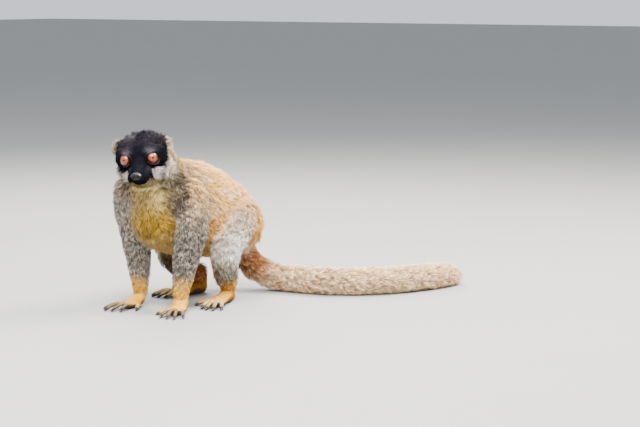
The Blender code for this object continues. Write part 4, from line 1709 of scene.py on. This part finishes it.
# ------------------------------------------------------------------ shader maths
class Value:
    """One number in a material. Sums and products of values add their own Math nodes."""

    def __init__(self, board: "Board", socket: Socket) -> None:
        """Wraps a node's output."""
        self.board, self.socket = board, socket

    def _math(self, operation: str, first: object, second: object) -> "Value":
        """Adds one Math node on two numbers."""
        return self.board.number("ShaderNodeMath", {"operation": operation}, {0: first, 1: second})

    def __add__(self, other: object) -> "Value":
        """Sum."""
        return self._math("ADD", self, other)

    def __mul__(self, other: object) -> "Value":
        """Product."""
        return self._math("MULTIPLY", self, other)

    def __sub__(self, other: object) -> "Value":
        """Difference."""
        return self._math("SUBTRACT", self, other)

    def __rsub__(self, other: object) -> "Value":
        """Difference, from a plain number."""
        return self._math("SUBTRACT", other, self)

    __radd__, __rmul__ = __add__, __mul__

    def step(self, low: float, high: float) -> "Value":
        """A soft step from 0 at low to 1 at high.

        Args:
            low: Where the step starts.
            high: Where it ends.

        Returns:
            The step's height.
        """
        settings = {"interpolation_type": "SMOOTHSTEP"}
        inputs = {"Value": self, 1: low, 2: high, 3: 0.0, 4: 1.0}
        return self.board.number("ShaderNodeMapRange", settings, inputs)


class Board:
    """A material and the nodes on it."""

    def __init__(self, name: str) -> None:
        """Makes an empty material with a Principled shader.

        Args:
            name: The material's name.
        """
        self.material = bpy.data.materials.new(name)
        self.material.use_nodes = True
        self.tree = self.material.node_tree
        self.shader = self.tree.nodes["Principled BSDF"]

    def node(self, kind: str, settings: dict[str, object], inputs: dict[object, object]) -> bpy.types.Node:
        """Adds a node.

        Args:
            kind: The node's type.
            settings: Its own settings, which are set first.
            inputs: Values or links for its sockets, by name or number.

        Returns:
            The node.
        """
        made = self.tree.nodes.new(kind)
        for key, value in settings.items():
            setattr(made, key, value)
        for key, value in inputs.items():
            self.feed(made.inputs[key], value)
        return made

    def feed(self, socket: Socket, value: object) -> None:
        """Links or sets one socket.

        Args:
            socket: The socket.
            value: A link, a wrapped value, a colour or a number.
        """
        if isinstance(value, Value):
            self.tree.links.new(value.socket, socket)
        elif isinstance(value, Socket):
            self.tree.links.new(value, socket)
        elif isinstance(value, tuple) and len(value) == 3 and socket.type == "RGBA":
            socket.default_value = (*value, 1)
        else:
            socket.default_value = value

    def drive(self, name: str, value: object) -> None:
        """Feeds one socket of the shader."""
        self.feed(self.shader.inputs[name], value)

    def fix(self, **constants: float) -> None:
        """Sets numbers on the shader's own sockets; a low line in a name stands for a space."""
        for name, value in constants.items():
            self.shader.inputs[name.replace("_", " ")].default_value = value

    def number(self, kind: str, settings: dict[str, object], inputs: dict[object, object]) -> Value:
        """Adds a node and takes its first output as a number."""
        return Value(self, self.node(kind, settings, inputs).outputs[0])

    def attribute(self, name: str, out: str = "Fac") -> Socket:
        """Reads a stored attribute."""
        return self.node("ShaderNodeAttribute", {"attribute_name": name}, {}).outputs[out]

    def measure(self, name: str) -> Value:
        """Reads a stored number."""
        return Value(self, self.attribute(name))

    def place(self) -> Socket:
        """Object coordinates."""
        return self.node("ShaderNodeTexCoord", {}, {}).outputs["Object"]

    def noise(self, scale: float, detail: float = 2.0, where: object = None) -> Value:
        """Cloudy unevenness between 0 and 1."""
        inputs = {"Vector": where or self.place(), "Scale": scale, "Detail": detail}
        return self.number("ShaderNodeTexNoise", {}, inputs)

    def mix(self, factor: object, first: object, second: object, blend: str = "MIX") -> Socket:
        """Mixes two colours."""
        settings = {"data_type": "RGBA", "blend_type": blend}
        return self.node("ShaderNodeMix", settings, {0: factor, 6: first, 7: second}).outputs[2]

    def tint(self, colour: object, amount: Value) -> Socket:
        """A colour made darker or lighter by a number."""
        grey = self.node("ShaderNodeCombineColor", {}, {0: amount, 1: amount, 2: amount}).outputs[0]
        return self.mix(1.0, colour, grey, "MULTIPLY")

    def relief(self, height: Value, distance: float, strength: float = 1.0) -> None:
        """Feeds a height into the shader's normal."""
        inputs = {"Height": height, "Distance": distance, "Strength": strength}
        self.drive("Normal", self.node("ShaderNodeBump", {}, inputs).outputs[0])

    def dress(self, obj: Obj) -> None:
        """Gives the object this material alone."""
        obj.data.materials.clear()
        obj.data.materials.append(self.material)


@dataclass(frozen=True)
class CoatFinish:
    """Hair: darker at the root, lighter along its length, with some pale and some black points."""

    root_shade: float = 0.30
    tip_light: float = 1.25
    pale_share: float = 0.24
    dark_share: float = 0.26
    blur: float = 0.08
    straw: Triple = (0.95, 0.86, 0.70)
    soot: Triple = (0.14, 0.12, 0.11)
    cloud: tuple[float, float, float] = (95.0, 0.34, 0.83)

    def board(self) -> Board:
        """Makes the material.

        Returns:
            The material's board.
        """
        b = Board("coat_hair")
        base = b.attribute("pelage", "Color")
        along, tick = b.measure("along"), b.measure("tick")
        colour = b.tint(base, along * (self.tip_light - self.root_shade) + self.root_shade)
        pale = tick.step(1 - self.pale_share, 1 - self.pale_share + self.blur) * along.step(0.35, 0.8)
        bright = b.number("ShaderNodeRGBToBW", {}, {0: base}).step(0.02, 0.25)
        colour = b.mix(pale * bright * 0.8, colour, b.mix(0.5, base, self.straw))
        dark = (1 - tick.step(self.dark_share - self.blur, self.dark_share)) * along.step(0.3, 0.75)
        colour = b.mix(dark * 0.75, colour, b.mix(1.0, base, self.soot, "MULTIPLY"))
        scale, sway, low = self.cloud
        b.drive("Base Color", b.tint(colour, b.noise(scale, 3.0) * sway + low))
        b.fix(Roughness=0.65, Specular_IOR_Level=0.0)
        return b


@dataclass(frozen=True)
class SkinFinish:
    """Skin under the coat, with the coat's own markings darkened as painted shade between the locks, and bare
    dark skin on lids, lips and digit tips.
    """

    cloud: float = 600.0
    gloss: float = 300.0
    grain: float = 1400.0
    relief: float = 0.0006

    def board(self) -> Board:
        """Makes the material.

        Returns:
            The material's board.
        """
        b = Board("lemur_skin")
        # Painted shade: the markings darkened to between 0.4 and 0.9 of the coat's, so the gaps between locks
        # read dark.
        b.drive("Base Color", b.tint(b.attribute("pelage", "Color"), b.noise(self.cloud, 4.0) * 0.5 + 0.40))
        b.drive("Roughness", b.noise(self.gloss, 2.0) * 0.25 + 0.5)
        b.relief(b.noise(self.grain, 3.0), self.relief, 0.7)
        b.fix(Specular_IOR_Level=0.03)
        return b


@dataclass(frozen=True)
class EyeFinish:
    """An orange-red iris with fine spokes, a dark edge and a small pupil, under a wet clear surface."""

    ring: Triple = (0.150, 0.014, 0.003)
    inner: Triple = (0.270, 0.050, 0.004)
    edge: Triple = (0.022, 0.003, 0.002)
    fleck: Triple = (0.340, 0.086, 0.010)
    pupil: Triple = (0.010, 0.002, 0.002)
    white: Triple = (0.012, 0.006, 0.005)

    def board(self) -> Board:
        """Makes the material, which reads how far each place is from the pupil's middle.

        Returns:
            The material's board.
        """
        b = Board("eye_wet")
        out, spoke = b.measure("gaze"), b.attribute("spoke", "Color")
        layers = (
            (b.noise(9.0, 3.0, spoke).step(0.42, 0.70) * 0.75, self.edge),
            (b.noise(26.0, 2.0, spoke).step(0.5, 0.75) * 0.5, self.fleck),
            (out.step(0.74, 0.95), self.edge),
            (1 - out.step(0.15, 0.26), self.pupil),
            (out.step(0.97, 1.04), self.white),
        )
        colour = b.mix(out.step(0.25, 0.80), self.inner, self.ring)
        for cover, tone in layers:
            colour = b.mix(cover, colour, tone)
        b.drive("Base Color", colour)
        b.fix(Roughness=0.28, Specular_IOR_Level=0.25, Coat_Weight=0.7, Coat_Roughness=0.05)
        return b


@dataclass(frozen=True)
class NoseFinish:
    """Moist blue-black nose skin with a fine pebbled grain."""

    pebble: Triple = (0.009, 0.009, 0.012)
    crack: Triple = (0.004, 0.004, 0.005)
    grain: float = 1500.0

    def board(self) -> Board:
        """Makes the material.

        Returns:
            The material's board.
        """
        b = Board("nose_moist")
        grain = b.number("ShaderNodeTexVoronoi", {}, {"Vector": b.place(), "Scale": self.grain})
        b.drive("Base Color", b.mix(grain.step(0.1, 0.7), self.pebble, self.crack))
        b.drive("Roughness", b.noise(500.0) * 0.2 + 0.45)
        b.relief(grain, 0.0002, 0.7)
        b.fix(Specular_IOR_Level=0.15, Coat_Weight=0.28, Coat_Roughness=0.18)
        return b


@dataclass(frozen=True)
class NailFinish:
    """Dark grey horn with faint lines."""

    dark: Triple = (0.030, 0.027, 0.026)
    pale: Triple = (0.085, 0.075, 0.068)

    def board(self) -> Board:
        """Makes the material.

        Returns:
            The material's board.
        """
        b = Board("nail_horn")
        lines = b.noise(900.0, 2.0)
        b.drive("Base Color", b.mix(lines, self.dark, self.pale))
        b.drive("Roughness", 0.35 + lines * 0.2)
        b.relief(lines, 0.0002, 0.5)
        return b


# ------------------------------------------------------------------ eyes, nose, nails
@dataclass
class Eye:
    """An eyeball with a raised cornea, in place of its packed ball."""

    side: int
    name: str
    radius: float = 9.9
    iris: float = 8.0
    bulge: float = 0.7

    def gaze(self) -> Rows:
        """The way that the pupil looks, in the head's frame."""
        return unit(np.array([self.side * 0.27 + 0.10, -0.91, 0.25]))

    def build(self) -> Obj:
        """Models the eyeball and stores each place's distance and turn from the pupil.

        Returns:
            The eyeball.
        """
        seat = tuple(EyeSocket.seat(self.side))
        eye = Bench.ball(seat, (self.radius,) * 3, HEAD.matrix(), 56)
        eye.name = eye.data.name = "eyeball_" + self.name
        q = HEAD.local(points_of(eye)) - np.array(seat)
        aim = self.gaze()
        way = unit(q)
        height = way @ aim
        out = np.sqrt(np.clip(1 - height**2, 0, 1)) * self.radius
        front = height > 0
        rise = self.bulge * ease(out, self.iris + 0.6, self.iris * 0.55) * front
        q = way * (self.radius + rise)[:, None]
        spoke = unit(way - height[:, None] * aim) * 0.5 + 0.5 + 0.02 * out[:, None]
        set_points(eye, HEAD.world(q + np.array(seat)))
        paint(eye, "gaze", np.where(front, out / self.iris, 2.0))
        paint(eye, "spoke", spoke)
        eye.data.shade_smooth()
        return eye


@dataclass
class Nose:
    """The bare nose pad with its two nostrils, each a row of pits: place, depth and spread."""

    half: Triple = (8.8, 6.0, 6.3)
    pits: Chain = (
        ((3.9, -4.8, -0.6), 3.4, 3.4),
        ((5.5, -4.0, -1.4), 2.8, 2.8),
        ((7.0, -2.2, -2.4), 1.8, 2.4),
    )
    rim: Triple = (5.0, -4.2, 2.3)
    front: float = -3.4

    def build(self) -> Obj:
        """Models the pad from a ball and sinks the nostrils and the groove between them.

        Returns:
            The nose pad.
        """
        nose = Bench.ball(NOSE_SEAT, self.half, HEAD.matrix(), 64)
        nose.name = nose.data.name = "nose_pad"
        q = HEAD.local(points_of(nose)) - np.array(NOSE_SEAT)
        q[:, 0] *= 1 + 0.30 * np.minimum(q[:, 2], 0) / self.half[2]
        past = np.minimum(q[:, 1] - self.front, 0)
        q[:, 1] -= 0.45 * past + 0.10 * q[:, 2]
        way = unit(q)
        sink = 0.9 * bump(q[:, 0], 0, 0.7) * ease(q[:, 2], 2.0, -1.5) * ease(q[:, 1], 0, -3)
        sink = sink + 0.35 * bump(q[:, 2], 3.2, 1.2) * ease(q[:, 1], 0, -3)
        for side in SIDES:
            for at, deep, wide in (*self.pits, (self.rim, -1.0, 3.4)):
                pit = np.array([side * at[0], at[1], at[2]])
                sink = sink + deep * np.exp(-(((q - pit) ** 2).sum(1)) / wide)
        q = q - way * sink[:, None]
        set_points(nose, HEAD.world(q + np.array(NOSE_SEAT)))
        nose.data.shade_smooth()
        return nose


@dataclass
class Nails:
    """The flat nails at the tips of the digits, with half sizes as shares of a digit's radius."""

    half: Triple = (0.62, 0.95, 0.30)
    ahead: float = 0.55
    above: float = 0.42

    def build(self) -> Obj:
        """Models one nail on each digit and joins them.

        Returns:
            The nails, as one piece.
        """
        pieces = []
        for paw in PAWS:
            for digit in paw.digits:
                tip, before = paw.world(digit[-1]), paw.world(digit[-2])
                way = unit(tip - before)
                flat = math.atan2(way[1], way[0]) + math.pi / 2
                size = paw.radii[-1]
                rise = size * self.above - PawForm.press
                at = (tip + way * size * self.ahead + np.array([0, 0, rise]) + ORIGIN) * MM
                drop = math.asin(np.clip(-way[2], -1, 1)) * 0.7
                turn = Matrix.Rotation(flat, 4, "Z") @ Matrix.Rotation(drop, 4, "X")
                seat = Matrix.Translation(Vector(at)) @ turn
                half = tuple(size * share * MM for share in self.half)
                pieces.append(Bench.ball((0, 0, 0), half, seat, 10))
        nails = Bench.join(pieces, "nails")
        nails.data.shade_smooth()
        return nails


# ------------------------------------------------------------------ studio
@dataclass
class Studio:
    """A plain pale floor, soft light and the camera."""

    azimuth: float = 40.0
    elevation: float = 10.0
    distance: float = 2.9
    lens: float = 100.0
    sensor: float = 36.0
    aside: float = 0.2121
    above: float = 0.1411
    room: float = 40.0
    gap: float = 0.0003
    greys: tuple[Triple, Triple] = ((0.24, 0.24, 0.237), (0.26, 0.26, 0.257))
    air: tuple[float, float, float, float] = (0.88, 0.93, 1.0, 1.0)
    air_strength: float = 1.05
    lamps: tuple[tuple[str, Triple, float, float, Triple], ...] = (
        ("top_light", (0.6, -1.1, 1.75), 1.7, 235, (1.0, 0.98, 0.95)),
        ("back_light", (0.9, 1.0, 1.9), 1.3, 230, (1.0, 0.95, 0.88)),
        ("left_light", (-1.2, 0.8, 1.6), 1.6, 110, (1.0, 0.97, 0.92)),
    )
    aim: Triple = (-0.05, -0.1, 0.12)

    def floor(self) -> None:
        """Lays the floor."""
        Bench.clear_selection()
        bpy.ops.mesh.primitive_plane_add(size=self.room, location=(0, 0, -self.gap))
        plane = bpy.context.active_object
        plane.name = "studio_floor"
        Bench.settle(plane)
        b = Board("floor_pale")
        b.drive("Base Color", b.mix(b.noise(3.0), *self.greys))
        b.fix(Roughness=0.85)
        b.dress(plane)

    def light(self, name: str, spot: Triple, size: float, power: float, colour: Triple) -> None:
        """Hangs one round soft light that faces the animal.

        Args:
            name: The lamp's name.
            spot: Where it hangs, in metres.
            size: Its width in metres.
            power: Its power in watts.
            colour: Its colour.
        """
        lamp = bpy.data.lights.new(name, "AREA")
        lamp.shape, lamp.size, lamp.energy, lamp.color = "DISK", size, power, colour
        obj = Bench.add(name, lamp)
        obj.location = spot
        obj.rotation_euler = (Vector(self.aim) - Vector(spot)).to_track_quat("-Z", "Y").to_euler()

    def camera(self) -> None:
        """Sets the camera at the animal's three-quarter view."""
        a, e = math.radians(self.azimuth), math.radians(self.elevation)
        back = Vector((math.sin(a) * math.cos(e), -math.cos(a) * math.cos(e), math.sin(e)))
        right = Vector((math.cos(a), math.sin(a), 0))
        up = back.cross(right)
        foot = Vector((ORIGIN[0], ORIGIN[1], 0)) * MM
        spot = foot + back * self.distance
        aim = foot + right * self.aside + up * self.above
        data = bpy.data.cameras.new("camera")
        data.lens, data.sensor_width = self.lens, self.sensor
        cam = Bench.add("camera", data)
        cam.location = spot
        cam.rotation_euler = (aim - spot).to_track_quat("-Z", "Y").to_euler()
        bpy.context.scene.camera = cam

    def world(self) -> None:
        """Fills the room with even pale light."""
        world = bpy.data.worlds.new("studio_air")
        world.use_nodes = True
        inputs = world.node_tree.nodes["Background"].inputs
        inputs["Color"].default_value, inputs["Strength"].default_value = self.air, self.air_strength
        bpy.context.scene.world = world

    def build(self) -> None:
        """Sets the whole studio."""
        self.floor()
        for lamp in self.lamps:
            self.light(*lamp)
        self.world()
        self.camera()


def keep(obj: Obj, board: Board) -> None:
    """Dresses a finished piece and makes it ride on the body.

    Args:
        obj: The piece.
        board: Its material.
    """
    board.dress(obj)
    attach(obj, BODY)
    log.info("%s: %d faces", obj.name, len(obj.data.polygons))


def main() -> None:
    """Builds the animal and its studio."""
    logging.basicConfig(level=logging.INFO, format="%(message)s")
    Studio().build()
    hide = Hide()
    skin = hide.build()
    paint(skin, "pelage", markings(Field(points_of(skin)), normals_of(skin)))
    keep(skin, SkinFinish().board())
    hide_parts(*hide.flesh, *hide.head_nodes, *hide.paw_nodes)

    hair = CoatFinish().board()
    for piece in Coat(skin, CoatPlan()).build():
        keep(piece, hair)

    wet = EyeFinish().board()
    for side, name in ((1, "left"), (-1, "right")):
        eye = Eye(side, name).build()
        keep(eye, wet)
        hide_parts("eye_" + name)
    nose = Nose().build()
    keep(nose, NoseFinish().board())
    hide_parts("nose")
    keep(Nails().build(), NailFinish().board())


if __name__ == "__main__":
    main()
